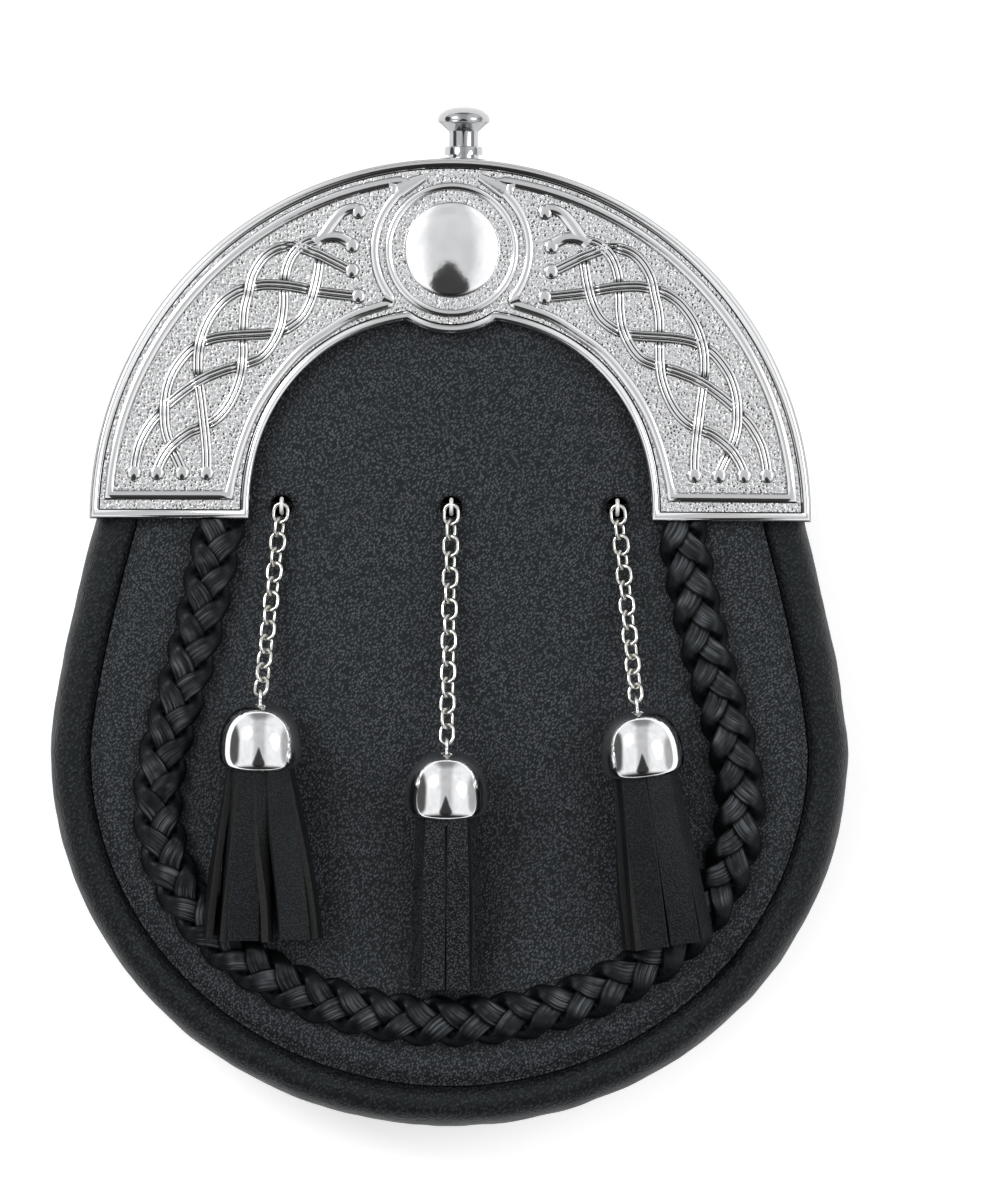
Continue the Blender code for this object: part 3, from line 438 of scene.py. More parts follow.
class Signal:
    """A socket of a finish that can be used in sums."""

    def __init__(self, bench, socket):
        self.bench, self.socket = bench, socket

    def maths(self, operation, *values):
        return self.bench.node("ShaderNodeMath", {"operation": operation}, dict(enumerate(values)))

    def __add__(self, other):
        return self.maths("ADD", self, other)

    def __sub__(self, other):
        return self.maths("SUBTRACT", self, other)

    def __rsub__(self, other):
        return self.maths("SUBTRACT", other, self)

    def __mul__(self, other):
        return self.maths("MULTIPLY", self, other)

    def __truediv__(self, other):
        return self.maths("DIVIDE", self, other)

    def __pow__(self, other):
        return self.maths("POWER", self, other)

    def __abs__(self):
        return self.maths("ABSOLUTE", self)

    __radd__ = __add__
    __rmul__ = __mul__

    def most(self, other):
        """The larger of the two."""
        return self.maths("MAXIMUM", self, other)

    def between(self, low, high):
        """0 below low and 1 above high, with a soft step between them."""
        feeds = {"Value": self, "From Min": low, "From Max": high}
        return self.bench.node("ShaderNodeMapRange", {"interpolation_type": "SMOOTHSTEP"}, feeds)

    def axis(self, name):
        return self.bench.node("ShaderNodeSeparateXYZ", feeds={"Vector": self}, out=name)


class Bench:
    """The nodes of one finish or of the world."""

    def __init__(self, tree):
        self.tree = tree

    def node(self, kind, settings=None, feeds=None, out=0):
        """Adds a node with its settings first, then the values or links of its sockets."""
        made = self.tree.nodes.new(kind)
        for name, value in (settings or {}).items():
            setattr(made, name, value)
        for key, value in (feeds or {}).items():
            if isinstance(value, Signal):
                self.tree.links.new(value.socket, made.inputs[key])
            else:
                made.inputs[key].default_value = value
        return Signal(self, made.outputs[out])

    def place(self):
        return self.node("ShaderNodeTexCoord", out="Object")

    def mark(self, name):
        return self.node("ShaderNodeAttribute", {"attribute_name": name}, out="Fac")

    def vector(self, x, y, z):
        return self.node("ShaderNodeCombineXYZ", feeds={"X": x, "Y": y, "Z": z})

    def stretched(self, vector, scale):
        return self.node("ShaderNodeMapping", feeds={"Vector": vector, "Scale": scale})

    def noise(self, vector, size, detail=2.0, rough=0.5, warp=0.0):
        feeds = {"Vector": vector, "Scale": 1 / size, "Detail": detail}
        feeds |= {"Roughness": rough, "Distortion": warp}
        return self.node("ShaderNodeTexNoise", feeds=feeds)

    def cells(self, vector, size):
        """Distance from the nearest of scattered points about size apart."""
        feeds = {"Vector": vector, "Scale": 1 / size, "Randomness": 1.0}
        return self.node("ShaderNodeTexVoronoi", {"feature": "F1"}, feeds)

    def pebbles(self, vector, size):
        """Cells with softened borders."""
        feeds = {"Vector": vector, "Scale": 1 / size, "Randomness": 1.0, "Smoothness": 0.3}
        return self.node("ShaderNodeTexVoronoi", {"feature": "SMOOTH_F1"}, feeds)

    def mix(self, share, low, high):
        """One colour to another by share."""
        low, high = ((*c, 1.0) if isinstance(c, tuple) else c for c in (low, high))
        return self.node("ShaderNodeMix", {"data_type": "RGBA"}, {0: share, 6: low, 7: high}, out=2)

    def relief(self, height, depth, strength):
        """A bump of the given depth."""
        feeds = {"Height": height, "Distance": depth, "Strength": strength}
        return self.node("ShaderNodeBump", feeds=feeds)


def finish(name, build, **constants):
    """A material whose build(bench) returns the sockets that change over the surface."""
    made = bpy.data.materials.new(name)
    made.use_nodes = True
    shader = made.node_tree.nodes["Principled BSDF"]
    bench = Bench(made.node_tree)
    for key, value in constants.items():
        shader.inputs[key.replace("_", " ")].default_value = value
    if "Metallic" not in constants:
        shader.inputs["Specular IOR Level"].default_value = LEATHER_SHEEN
        shader.inputs["Specular Tint"].default_value = COOL_SHEEN
    for key, value in build(bench).items():
        made.node_tree.links.new(value.socket, shader.inputs[key])
    return made


def grained_leather(name, pebble, depth, dark, painted_sheen, wrinkle=0.0, gloss=(0.34, 0.55)):
    """Black leather: slanting pebbles whose crests carry a painted grey sheen, and soft changes of gloss."""

    def build(bench):
        place = bench.place()
        drift = bench.noise(place, pebble * 22, 3.0)
        turn = {"Vector": place, "Angle": GRAIN_TURN}
        slant = bench.node("ShaderNodeVectorRotate", {"rotation_type": "Z_AXIS"}, turn)
        slant = bench.stretched(slant, GRAIN_STRETCH)
        cells = bench.pebbles(slant, pebble)
        crumbs = bench.noise(slant, pebble * 0.55, 2.0)
        height = (1 - cells) * 0.7 + crumbs * 0.5
        if wrinkle:
            folds = bench.noise(place, pebble * 3.2, 4.0, 0.6, 0.8)
            height = height + (abs(folds - 0.5) * 2 * wrinkle)
        # Painted highlight: each pebble's crest is lightened towards the painted sheen colour.
        crest = (1 - cells).between(0.42, 0.86) * (crumbs.between(0.34, 0.60) * 0.6 + 0.4)
        colour = bench.mix(crest * (drift.between(0.28, 0.72) * 0.2 + 0.8), dark, painted_sheen)
        rough = drift * (gloss[1] - gloss[0]) + gloss[0]
        return {"Base Color": colour, "Roughness": rough, "Normal": bench.relief(height, depth, 0.9)}

    return finish(name, build)


def lace_leather(name):
    """Glossy laces with fine lines along them, a painted sheen in streaks on their faces, and painted shade
    at their edges and where they turn at the band's edge.
    """

    def build(bench):
        across, along = bench.mark("across"), bench.mark("along")
        lines = bench.noise(bench.vector(across * 5.0, along * 90.0, 0.0), 1.0, 3.0, 0.6)
        fibres = bench.noise(bench.vector(across * 26.0, along * 160.0, 0.0), 1.0, 2.0)
        patches = bench.noise(bench.place(), 5 * MM, 2.0)
        edge = abs(across).between(0.80, 0.93)
        height = lines * 0.6 + fibres * 0.4 - edge * 0.25
        # Where the tone mark says a lace turns at the band's edge, its painted sheen gives way to black:
        # painted shade.
        face = 1 - bench.mark("tone").between(0.62, 0.90)
        painted_sheen_streaks = lines.between(0.42, 0.66) * 0.65 + fibres.between(0.5, 0.7) * 0.5
        painted_sheen_streaks = painted_sheen_streaks * patches.between(0.3, 0.62)
        # Painted highlight: the streaks lighten the lace towards its shine colour, except at its edges and
        # turns.
        colour = bench.mix(painted_sheen_streaks * face * (1 - edge), LACE_BLACK, LACE_SHINE)
        rough = face * 0.2 + 0.22 + fibres * 0.1
        return {"Base Color": colour, "Roughness": rough, "Normal": bench.relief(height, 0.16 * MM, 0.8)}

    return finish(name, build)


def strip_leather(name, painted_sheen, painted_sheen_cover):
    """A tassel's strips: grained faces whose crests carry a painted sheen, and cut edges of fibre where the
    tone mark says so.
    """

    def build(bench):
        place = bench.place()
        cut = bench.mark("tone").between(0.35, 0.65)
        cells = bench.pebbles(place, 0.45 * MM)
        fibre = bench.noise(place, 0.22 * MM, 4.0, 0.7)
        patches = bench.noise(place, 6 * MM, 2.0)
        # Painted highlight on the pebbles' crests, spread over more of the face as the sheen cover grows.
        crest = (1 - cells).between(0.42, 0.86) * (fibre.between(0.34, 0.60) * 0.6 + 0.4)
        crest = crest * (patches.between(0.2, 0.7) * (1 - painted_sheen_cover) + painted_sheen_cover)
        face = bench.mix(crest, STRIP_BLACK, painted_sheen)
        edge = bench.mix(fibre.between(0.35, 0.7), *CUT_EDGE)
        height = (1 - cells) * (1 - cut) + fibre * cut
        rough = cut * 0.35 + 0.45
        return {
            "Base Color": bench.mix(cut, face, edge),
            "Roughness": rough,
            "Normal": bench.relief(height, 0.13 * MM, 0.8),
        }

    return finish(name, build)


def bright_chrome(name, rough=0.07, waviness=0.02 * MM, lined=True, colour=SILVER):
    """Polished plating, slightly wavy, with painted shade lines where the across mark nears an edge of the
    work, and painted shade where the tone mark says a strand dips under another.
    """

    def build(bench):
        place = bench.place()
        wave = bench.noise(place, 2.6 * MM, 3.0)
        scuffs = bench.noise(bench.stretched(place, (1.0, 6.0, 1.0)), 0.8 * MM, 4.0, 0.7)
        sockets = {
            "Roughness": scuffs.between(0.55, 0.8) * 0.12 + rough,
            "Normal": bench.relief(wave, waviness, 0.8),
        }
        if lined:
            # Painted shade: dark lines at the edges of the raised work, and shade at the crossings, mixed
            # into the silver.
            edge = abs(bench.mark("across")).between(0.80, 0.93)
            sockets["Base Color"] = bench.mix(edge.most(bench.mark("tone") * 0.85), colour, PAINTED_SHADE)
        else:
            dulled = tuple(c * 0.85 for c in colour)
            sockets["Base Color"] = bench.mix(scuffs.between(0.6, 0.85), colour, dulled)
        return sockets

    return finish(name, build, Metallic=1.0)


def stippled_chrome(name):
    """The cast ground between the raised work: fine pits whose bottoms get painted shade."""

    def build(bench):
        place = bench.place()
        pits = bench.cells(place, 0.82 * MM)
        grit = bench.noise(place, 0.30 * MM, 2.0)
        patches = bench.noise(place, 9 * MM, 2.0)
        # Painted shade: the middle of each pit is darkened towards the pit shade colour.
        dark = (1 - pits.between(0.20, 0.36)) * (patches.between(0.25, 0.7) * 0.35 + 0.65)
        height = pits * 0.9 + grit * 0.6
        pale = bench.mix(grit.between(0.35, 0.65), *CAST_TONES)
        return {
            "Base Color": bench.mix(dark, pale, PAINTED_PIT_SHADE),
            "Roughness": dark * 0.2 + 0.24,
            "Normal": bench.relief(height, 0.15 * MM, 0.8),
        }

    return finish(name, build, Metallic=1.0)


def brushed_steel(name):
    """Steel brushed one way."""

    def build(bench):
        place = bench.place()
        brush = bench.noise(bench.stretched(place, (1.0, 1.0, 14.0)), 3 * MM, 4.0, 0.7)
        return {
            "Base Color": bench.mix(brush, *BRUSHED_TONES),
            "Roughness": brush * 0.2 + 0.28,
            "Normal": bench.relief(brush, 0.03 * MM, 0.6),
        }

    return finish(name, build, Metallic=1.0)


def waxed_thread(name):
    """Black thread with a fine twist."""

    def build(bench):
        along, across = bench.mark("along"), bench.mark("across")
        twist = bench.node("ShaderNodeMath", {"operation": "SINE"}, {0: along * 5200.0 + across * 6.0})
        return {
            "Base Color": bench.mix(twist.between(-1.0, 1.0), *THREAD_TONES),
            "Roughness": twist * 0.08 + 0.5,
            "Normal": bench.relief(twist, 0.08 * MM, 0.7),
        }

    return finish(name, build)


FRONT_LEATHER = grained_leather("front_grain", 0.46 * MM, 0.22 * MM, FRONT_BLACK, FRONT_CREST_SHEEN)
ROLL_LEATHER = grained_leather("roll_grain", 0.60 * MM, 0.28 * MM, DEEP_BLACK, ROLL_CREST_SHEEN, wrinkle=0.8)
BACK_LEATHER = grained_leather(
    "back_grain", 0.5 * MM, 0.08 * MM, BACK_BLACK, BACK_CREST_SHEEN, wrinkle=0.2, gloss=(0.5, 0.7)
)
LACING = lace_leather("lacing")
# Two copies of one strip leather: the middle tassel's gets a brighter painted sheen for the light its strips
# face, the side ones a dimmer one.
SIDE_STRIPS_PAINTED_DIM = strip_leather("side_strips_painted_dim", SIDE_STRIP_CREST_SHEEN, painted_sheen_cover=0.4)
MIDDLE_STRIPS_PAINTED_BRIGHT = strip_leather("middle_strips_painted_bright", MIDDLE_STRIP_CREST_SHEEN, painted_sheen_cover=0.9)
CAST_BRIGHT = bright_chrome("cast_bright")
CAST_GROUND = stippled_chrome("cast_ground")
# The dome's silver is set brighter than the rest of the cast: painted light.
DOME_CHROME = bright_chrome("dome_chrome", 0.09, 0.03 * MM, colour=SILVER_WITH_PAINTED_LIGHT)
BELL_CHROME = bright_chrome("bell_chrome", 0.09, 0.012 * MM, lined=False)
LINK_CHROME = bright_chrome("link_chrome", 0.12, 0.03 * MM, lined=False, colour=LINK_SILVER)
KNOB_CHROME = bright_chrome("knob_chrome", 0.10, 0.02 * MM, lined=False, colour=KNOB_SILVER)
DARK_STEEL = bright_chrome("dark_steel", 0.4, 0.02 * MM, lined=False, colour=OLD_STEEL)
TAB_STEEL = brushed_steel("tab_steel")
THREAD = waxed_thread("waxed_thread")


# The leather body


def outline(steps=ROLL_STEPS):
    """The pouch's outline as a U, from its right end inside the cantle, round the bottom, to the left one."""
    tuck, flare, bowl = steps
    right = [polar(SHOULDER_RADIUS, TUCK_ANGLE * (1 - i / tuck)) for i in range(tuck)]
    for i in range(flare):
        share = i / flare
        swell = 1 - (1 - share) ** FLARE_POWER
        right.append(Vector((blend(SHOULDER_RADIUS, BELLY_HALF_WIDTH, swell), -BELLY_DROP * share)))
    depth = BOTTOM_DROP - BELLY_DROP
    for i in range(bowl):
        angle = math.pi / 2 * i / bowl
        right.append(Vector((BELLY_HALF_WIDTH * math.cos(angle), -BELLY_DROP - depth * math.sin(angle))))
    left = [Vector((-p.x, p.y)) for p in reversed(right)]
    return right + [Vector((0, -BOTTOM_DROP))] + left


def roll_width(y):
    """Width of the rolled edge, measured in from the outline."""
    return blend(ROLL_WIDTH_AT_CANTLE, ROLL_WIDTH, ease(-y / BELLY_DROP))


def inset_outline(inset_at, steps):
    """The outline moved inwards by inset_at(y)."""
    path = outline(steps)
    normals = side_normals(path, False)
    return [p + Vector(n) * inset_at(p.y) for p, n in zip(path, normals)]


def closing_arc(radius, steps):
    """The arc inside the cantle that closes the outline, from left to right."""
    span = 180.0 - 2 * TUCK_ANGLE
    return [polar(radius, 180.0 - TUCK_ANGLE - span * i / steps) for i in range(1, steps)]


# One row for each point of the roll's skin: across from the groove to the outline and up from the back
# panel's inner face to the front panel's face, both as shares, and the share of the crest
ROLL_ROWS = (
    (-0.35, 0.922, 0.0),
    (-0.10, 0.922, 0.0),
    (0.06, 0.922, 0.0),
    (0.11, 0.945, 0.1),
    (0.20, 0.985, 0.5),
    (0.34, 1.005, 0.85),
    (0.52, 1.01, 1.0),
    (0.70, 0.99, 0.95),
    (0.86, 0.94, 0.6),
    (0.965, 0.85, 0.2),
    (1.0, 0.73, 0.0),
    (0.995, 0.5, 0.0),
    (0.955, 0.25, 0.0),
    (0.90, 0.07, 0.0),
    (0.84, 0.0, 0.0),
    (0.55, 0.0, 0.0),
    (0.30, 0.0, 0.0),
)


def ripple(place, size, amount):
    """A soft, repeatable unevenness."""
    return amount * noise.noise(Vector(place) / size)


def make_gusset_skin():
    """The gusset with its rolled front edge: one hollow wall swept round the outline."""
    path = outline()
    normals = side_normals(path, False)
    base = BACK_THICKNESS + GAP
    rows = smooth_line([Vector(row) for row in ROLL_ROWS], 0.05)
    rings = []
    for point, normal in zip(path, normals):
        width = roll_width(point.y)
        crest = ROLL_CREST * ease(-point.y / CREST_RUN)
        outer = []
        for across, up, share in rows:
            inset = (1 - across) * width
            level = blend(base, POUCH_DEPTH, up) + crest * share
            spot = point + Vector(normal) * inset
            place = (spot.x, spot.y, level)
            pull = ripple(place, *ROLL_WAVE) + ripple(place, *ROLL_DENTS)
            outer.append((inset - pull * ease((across - 0.2) / 0.3), level))
        outer = np.array(outer)
        steps = np.gradient(outer, axis=0)
        steps /= np.linalg.norm(steps, axis=1)[:, None]
        inner = outer + np.column_stack([-steps[:, 1], steps[:, 0]]) * GUSSET_WALL
        clear = [np.linalg.norm(outer - spot, axis=1).min() > 0.97 * GUSSET_WALL for spot in inner]
        inner = spread(inner[clear], len(rows))
        section = np.vstack([outer, inner[::-1]])
        spots = np.array(point)[None, :] + np.array(normal)[None, :] * section[:, :1]
        rings.append(np.column_stack([spots, section[:, 1]]))
    tones = np.concatenate([np.zeros(len(rows)), np.ones(len(rows))])
    form = swept(rings, tone=tones)
    return make_piece("gusset_skin", form, ROLL_LEATHER, "pouch", ["gusset"], 60)


def panel_swell(x, y, share):
    """Height of the front panel above its flat level; share runs from its middle to its edge."""
    crown = CROWN_HEIGHT * max(0.0, 1 - (share / CROWN_REACH) ** 2)
    edge = -1.3 * MM * ease((share - 0.965) / 0.035)
    soft = ripple((x, y, 0.3), *PANEL_WAVE) + ripple((x, y, 0.7), *PANEL_DENTS)
    return crown + edge + soft * (1 - ease((share - 0.9) / 0.1))


def panel_boundary():
    """The front panel's edge, a small gap inside the roll's groove."""
    edge = inset_outline(lambda y: roll_width(y) * (1 - ROLL_GROOVE) + GAP, FRONT_STEPS)
    top = SHOULDER_RADIUS - ROLL_WIDTH_AT_CANTLE * (1 - ROLL_GROOVE) - GAP
    return [Vector(p) for p in evenly(edge + closing_arc(top, 60), FRONT_SPACING, True)]


def make_front_skin():
    """The front panel: a softly crowned sheet with a punched hole for each chain."""
    edge = panel_boundary()
    count = len(edge)
    pairs = [(i, (i + 1) % count) for i in range(count)]
    shares = [*FRONT_EDGE_SHARES] + [FRONT_FIELD_SHARE * (1 - i / FRONT_RINGS) for i in range(FRONT_RINGS)]
    points, faces = [], []
    for side in (0, 1):
        start = len(points)
        for share in shares:
            for p in edge:
                spot = PANEL_MIDDLE.lerp(p, share)
                level = POUCH_DEPTH + panel_swell(spot.x, spot.y, share) - side * PANEL_THICKNESS
                points.append((spot.x, spot.y, level))
        middle = POUCH_DEPTH + panel_swell(*PANEL_MIDDLE, 0.0) - side * PANEL_THICKNESS
        points.append((*PANEL_MIDDLE, middle))
        for ring in range(len(shares) - 1):
            here, there = start + ring * count, start + (ring + 1) * count
            faces += [(here + i, here + j, there + j, there + i) for i, j in pairs]
        last, pole = start + (len(shares) - 1) * count, len(points) - 1
        faces += [(last + i, last + j, pole) for i, j in pairs]
    below = len(points) // 2
    faces += [(i, j, below + j, below + i) for i, j in pairs]
    form = Form(points, faces)
    panel = make_piece("front_skin", form, FRONT_LEATHER, "pouch", ["front_panel"])
    punch_holes(panel)
    return panel


# The punch: radius as a share of the hole's, and height above the panel's face in millimetres
PUNCH_ROWS = ((0, -8.0), (0.92, -8.0), (1.0, -0.7), (1.12, -0.28), (1.45, 0.06), (1.9, 1.5), (0, 1.5))


def punch_holes(panel):
    """Cuts the chains' holes, with an edge that the punch has pressed in."""
    cutters = bpy.data.collections.new("punches")
    for tassel in TASSELS:
        top = panel_top(tassel["hole"], HOLE_LEVEL)
        profile = [(HOLE_RADIUS * r, top + h * MM) for r, h in PUNCH_ROWS]
        form = turned(profile, 32).placed(Matrix.Translation((tassel["hole"], HOLE_LEVEL, 0)))
        mesh = bpy.data.meshes.new("punch")
        mesh.from_pydata(form.points.tolist(), [], form.faces)
        mend(mesh)
        cutters.objects.link(bpy.data.objects.new("punch", mesh))
    cut = panel.modifiers.new("punch", "BOOLEAN")
    cut.operation = "DIFFERENCE"
    cut.operand_type = "COLLECTION"
    cut.collection = cutters
    cut.solver = "EXACT"
    graph = bpy.context.evaluated_depsgraph_get()
    panel.data = bpy.data.meshes.new_from_object(panel.evaluated_get(graph))
    panel.modifiers.clear()
    for cutter in list(cutters.objects):
        bpy.data.objects.remove(cutter)
    bpy.data.collections.remove(cutters)
    panel.data.shade_smooth()
    panel.data.set_sharp_from_angle(angle=math.radians(50))


SAME_WAY = 0.9998  # cosine past which two directions count as one


def panel_share(x, y):
    """How far x, y lies from the panel's middle towards its edge."""
    way = Vector((x, y)) - PANEL_MIDDLE

    def agreement(edge_point):
        return (edge_point - PANEL_MIDDLE).normalized().dot(way.normalized())

    ahead = [p for p in PANEL_EDGE if agreement(p) > SAME_WAY] or [max(PANEL_EDGE, key=agreement)]
    return way.length / (ahead[0] - PANEL_MIDDLE).length


def panel_top(x, y):
    """Level of the front panel's face."""
    return POUCH_DEPTH + panel_swell(x, y, panel_share(x, y))


def make_back_skin():
    """The flat back panel with softened edges and a groove that the stitches lie in."""
    edge = inset_outline(lambda y: BACK_INSET, BACK_STEPS) + closing_arc(SHOULDER_RADIUS - BACK_INSET, 90)
    edge = evenly(edge, BACK_SPACING, True)
    field, groove, depth = 9.0 * MM, STITCH_INSET, 0.38 * MM
    section = [
        (field, 0.0),
        (groove + 0.75 * MM, 0.0), (groove + 0.35 * MM, depth), (groove - 0.35 * MM, depth),
        (groove - 0.75 * MM, 0.0), (0.6 * MM, 0.0), (0.18 * MM, 0.15 * MM), (0.0, 0.6 * MM),
        (0.0, 1.4 * MM), (0.18 * MM, 1.85 * MM), (0.6 * MM, BACK_THICKNESS),
        (field, BACK_THICKNESS),
    ]
    normals = side_normals(edge, True)
    rings = []
    for inset, level in section:
        rings.append(np.column_stack([edge + normals * inset, np.full(len(edge), level)]))
    form = swept(rings)
    return make_piece("back_skin", form, BACK_LEATHER, "pouch", ["back_panel"], 50)


# Geometry Nodes


class Rig:
    """A tree of Geometry Nodes with named inputs."""

    def __init__(self, name, inputs):
        self.tree = bpy.data.node_groups.new(name, "GeometryNodeTree")
        face = self.tree.interface
        face.new_socket("Geometry", in_out="INPUT", socket_type="NodeSocketGeometry")
        face.new_socket("Geometry", in_out="OUTPUT", socket_type="NodeSocketGeometry")
        for label, kind in inputs.items():
            face.new_socket(label, in_out="INPUT", socket_type=kind)
        self.given = self.tree.nodes.new("NodeGroupInput")

    def input(self, label):
        return self.given.outputs[label]

    def node(self, kind, settings=None, feeds=None, out=0):
        made = self.tree.nodes.new(kind)
        for name, value in (settings or {}).items():
            setattr(made, name, value)
        for key, value in (feeds or {}).items():
            if isinstance(value, bpy.types.NodeSocket):
                self.tree.links.new(value, made.inputs[key])
            else:
                made.inputs[key].default_value = value
        return made.outputs[out]

    def spots(self, mode, socket, label):
        """Points along the given line, whose number or spacing comes from the input called label."""
        run = self.node("GeometryNodeMeshToCurve", feeds={"Mesh": self.input("Geometry")})
        made = self.tree.nodes.new("GeometryNodeCurveToPoints")
        made.mode = mode
        self.tree.links.new(run, made.inputs["Curve"])
        self.tree.links.new(self.input(label), made.inputs[socket])
        return made.outputs

    def lying(self, spots):
        """The turn that lays a piece's own X along the line at each spot."""
        return self.node("FunctionNodeAlignRotationToVector", {"axis": "X"}, {"Vector": spots["Tangent"]})

    def placed(self, piece, spots, turn):
        """The piece at every spot."""
        feeds = {"Points": spots["Points"], "Instance": piece, "Rotation": turn}
        return self.node("GeometryNodeInstanceOnPoints", feeds=feeds)

    def finish(self, geometry):
        """Ends the tree with real pieces in their material."""
        real = self.node("GeometryNodeRealizeInstances", feeds={"Geometry": geometry})
        feeds = {"Geometry": real, "Material": self.input("Material")}
        dressed = self.node("GeometryNodeSetMaterial", feeds=feeds)
        end = self.tree.nodes.new("NodeGroupOutput")
        self.tree.links.new(dressed, end.inputs["Geometry"])
        return self.tree


def grow(name, line, tree, values):
    """Runs a tree of Geometry Nodes on a line and returns the plain mesh that it makes."""
    mesh = bpy.data.meshes.new(name)
    edges = [(i, i + 1) for i in range(len(line) - 1)]
    mesh.from_pydata([tuple(p) for p in line], edges, [])
    made = bpy.data.objects.new(name, mesh)
    bpy.context.scene.collection.objects.link(made)
    step = made.modifiers.new("grow", "NODES")
    step.node_group = tree
    for item in tree.interface.items_tree:
        if item.in_out == "INPUT" and item.name in values:
            step[item.identifier] = values[item.name]
    graph = bpy.context.evaluated_depsgraph_get()
    grown = bpy.data.meshes.new_from_object(made.evaluated_get(graph))
    made.modifiers.remove(step)
    made.data = grown
    return made


INT, FLOAT, MATERIAL = "NodeSocketInt", "NodeSocketFloat", "NodeSocketMaterial"


def chain_rig():
    """Oval links along a line, each second one rolled."""
    sizes = ("Half Length", "Half Width", "Wire Radius", "Flat Roll", "Edge Roll")
    rig = Rig("chain_links", {"Link Count": INT, **dict.fromkeys(sizes, FLOAT), "Material": MATERIAL})
    spots = rig.spots("COUNT", "Count", "Link Count")
    double = {"operation": "MULTIPLY"}
    length = rig.node("ShaderNodeMath", double, {0: rig.input("Half Length"), 1: 2.0})
    width = rig.node("ShaderNodeMath", double, {0: rig.input("Half Width"), 1: 2.0})
    oval = rig.node("GeometryNodeCurvePrimitiveQuadrilateral", feeds={"Width": length, "Height": width})
    bend = {"Curve": oval, "Radius": rig.input("Half Width"), "Limit Radius": True, "Count": 8}
    oval = rig.node("GeometryNodeFilletCurve", {"mode": "POLY"}, bend)
    wire = {"Resolution": 12, "Radius": rig.input("Wire Radius")}
    wire = rig.node("GeometryNodeCurvePrimitiveCircle", feeds=wire, out="Curve")
    link = rig.node("GeometryNodeCurveToMesh", feeds={"Curve": oval, "Profile Curve": wire})
    index = rig.node("GeometryNodeInputIndex")
    odd = rig.node("ShaderNodeMath", {"operation": "MODULO"}, {0: index, 1: 2.0})
    rolls = {"Value": odd, "To Min": rig.input("Flat Roll"), "To Max": rig.input("Edge Roll")}
    roll = rig.node("ShaderNodeMapRange", feeds=rolls)
    turn = rig.node("FunctionNodeAxisAngleToRotation", feeds={"Axis": (1, 0, 0), "Angle": roll})
    turns = {"Rotation": rig.lying(spots), "Rotate By": turn}
    turned_over = rig.node("FunctionNodeRotateRotation", {"rotation_space": "LOCAL"}, turns)
    return rig.finish(rig.placed(link, spots, turned_over))


def stitch_rig():
    """Short rounded stitches end to end along a line."""
    sizes = ("Pitch", "Length", "Thread Radius")
    rig = Rig("stitch_run", {**dict.fromkeys(sizes, FLOAT), "Material": MATERIAL})
    spots = rig.spots("LENGTH", "Length", "Pitch")
    ball = rig.node("GeometryNodeMeshUVSphere", feeds={"Segments": 8, "Rings": 6, "Radius": 1.0}, out="Mesh")
    half = rig.node("ShaderNodeMath", {"operation": "MULTIPLY"}, {0: rig.input("Length"), 1: 0.5})
    thread = rig.input("Thread Radius")
    size = rig.node("ShaderNodeCombineXYZ", feeds={"X": half, "Y": thread, "Z": thread})
    stitch = rig.node("GeometryNodeTransform", feeds={"Geometry": ball, "Scale": size})
    return rig.finish(rig.placed(stitch, spots, rig.lying(spots)))


STITCH_SIZES = {"Pitch": 3.1 * MM, "Length": 2.5 * MM, "Thread Radius": 0.3 * MM}
STITCH_LEVEL = 0.32 * MM


def make_back_stitches():
    """The stitches that hold the back panel to the gusset."""
    line = evenly(inset_outline(lambda y: BACK_INSET + STITCH_INSET, BACK_STEPS), 1.0 * MM)
    line = [(x, y, STITCH_LEVEL) for x, y in line]
    made = grow("back_stitches", line, stitch_rig(), {**STITCH_SIZES, "Material": THREAD})
    return seat(made, "pouch", smooth=60)


# The cantle


def arch_point(degrees):
    """A point of the arch, a flattened half oval, seen from its right foot."""
    angle = math.radians(degrees)
    power = 2 / ARCH_POWER
    across = math.copysign(abs(math.cos(angle)) ** power, math.cos(angle))
    return Vector((ARCH_HALF_WIDTH * across, ARCH_HEIGHT * abs(math.sin(angle)) ** power))


def arch_meets(radius):
    """The angle at which the arch comes as near as radius to the medallion's centre."""
    low, high = 0.0, 90.0
    for _ in range(40):
        middle = (low + high) / 2
        if (arch_point(middle) - MEDAL_CENTRE).length > radius:
            low = middle
        else:
            high = middle
    return low


def medal_angle(point):
    """The way from the medallion's centre to a point, in degrees."""
    return math.degrees(math.atan2(point.y - MEDAL_CENTRE.y, point.x))


def spaced(first, last, steps):
    """Evenly spaced numbers from first to last."""
    return [blend(first, last, i / steps) for i in range(steps + 1)]


def plate_outline():
    """The cantle seen from the front: over the top from right to left, and back under the arch."""
    outer = [polar(PLATE_RADIUS, a) for a in spaced(0, 180, 120)]
    outer[0].y = outer[-1].y = 0.0
    meet = arch_meets(LOBE_RADIUS)
    left = [arch_point(a) for a in spaced(180, 180 - meet, 40)]
    left[0].y = 0.0
    sweep = medal_angle(left[-1]) % 360, medal_angle(arch_point(meet)) % 360
    lobe = [MEDAL_CENTRE + polar(LOBE_RADIUS, a) for a in spaced(*sweep, 16)][1:-1]
    right = [Vector((-p.x, p.y)) for p in reversed(left)]
    return outer + left + lobe + right


def flat_sheet(outline_points, low, high):
    """A flat plate with the given outline."""
    count = len(outline_points)
    points = [(p[0], p[1], level) for level in (low, high) for p in outline_points]
    faces = [tuple(range(count)), tuple(range(count, 2 * count))]
    faces += [(i, (i + 1) % count, count + (i + 1) % count, count + i) for i in range(count)]
    return Form(points, faces)


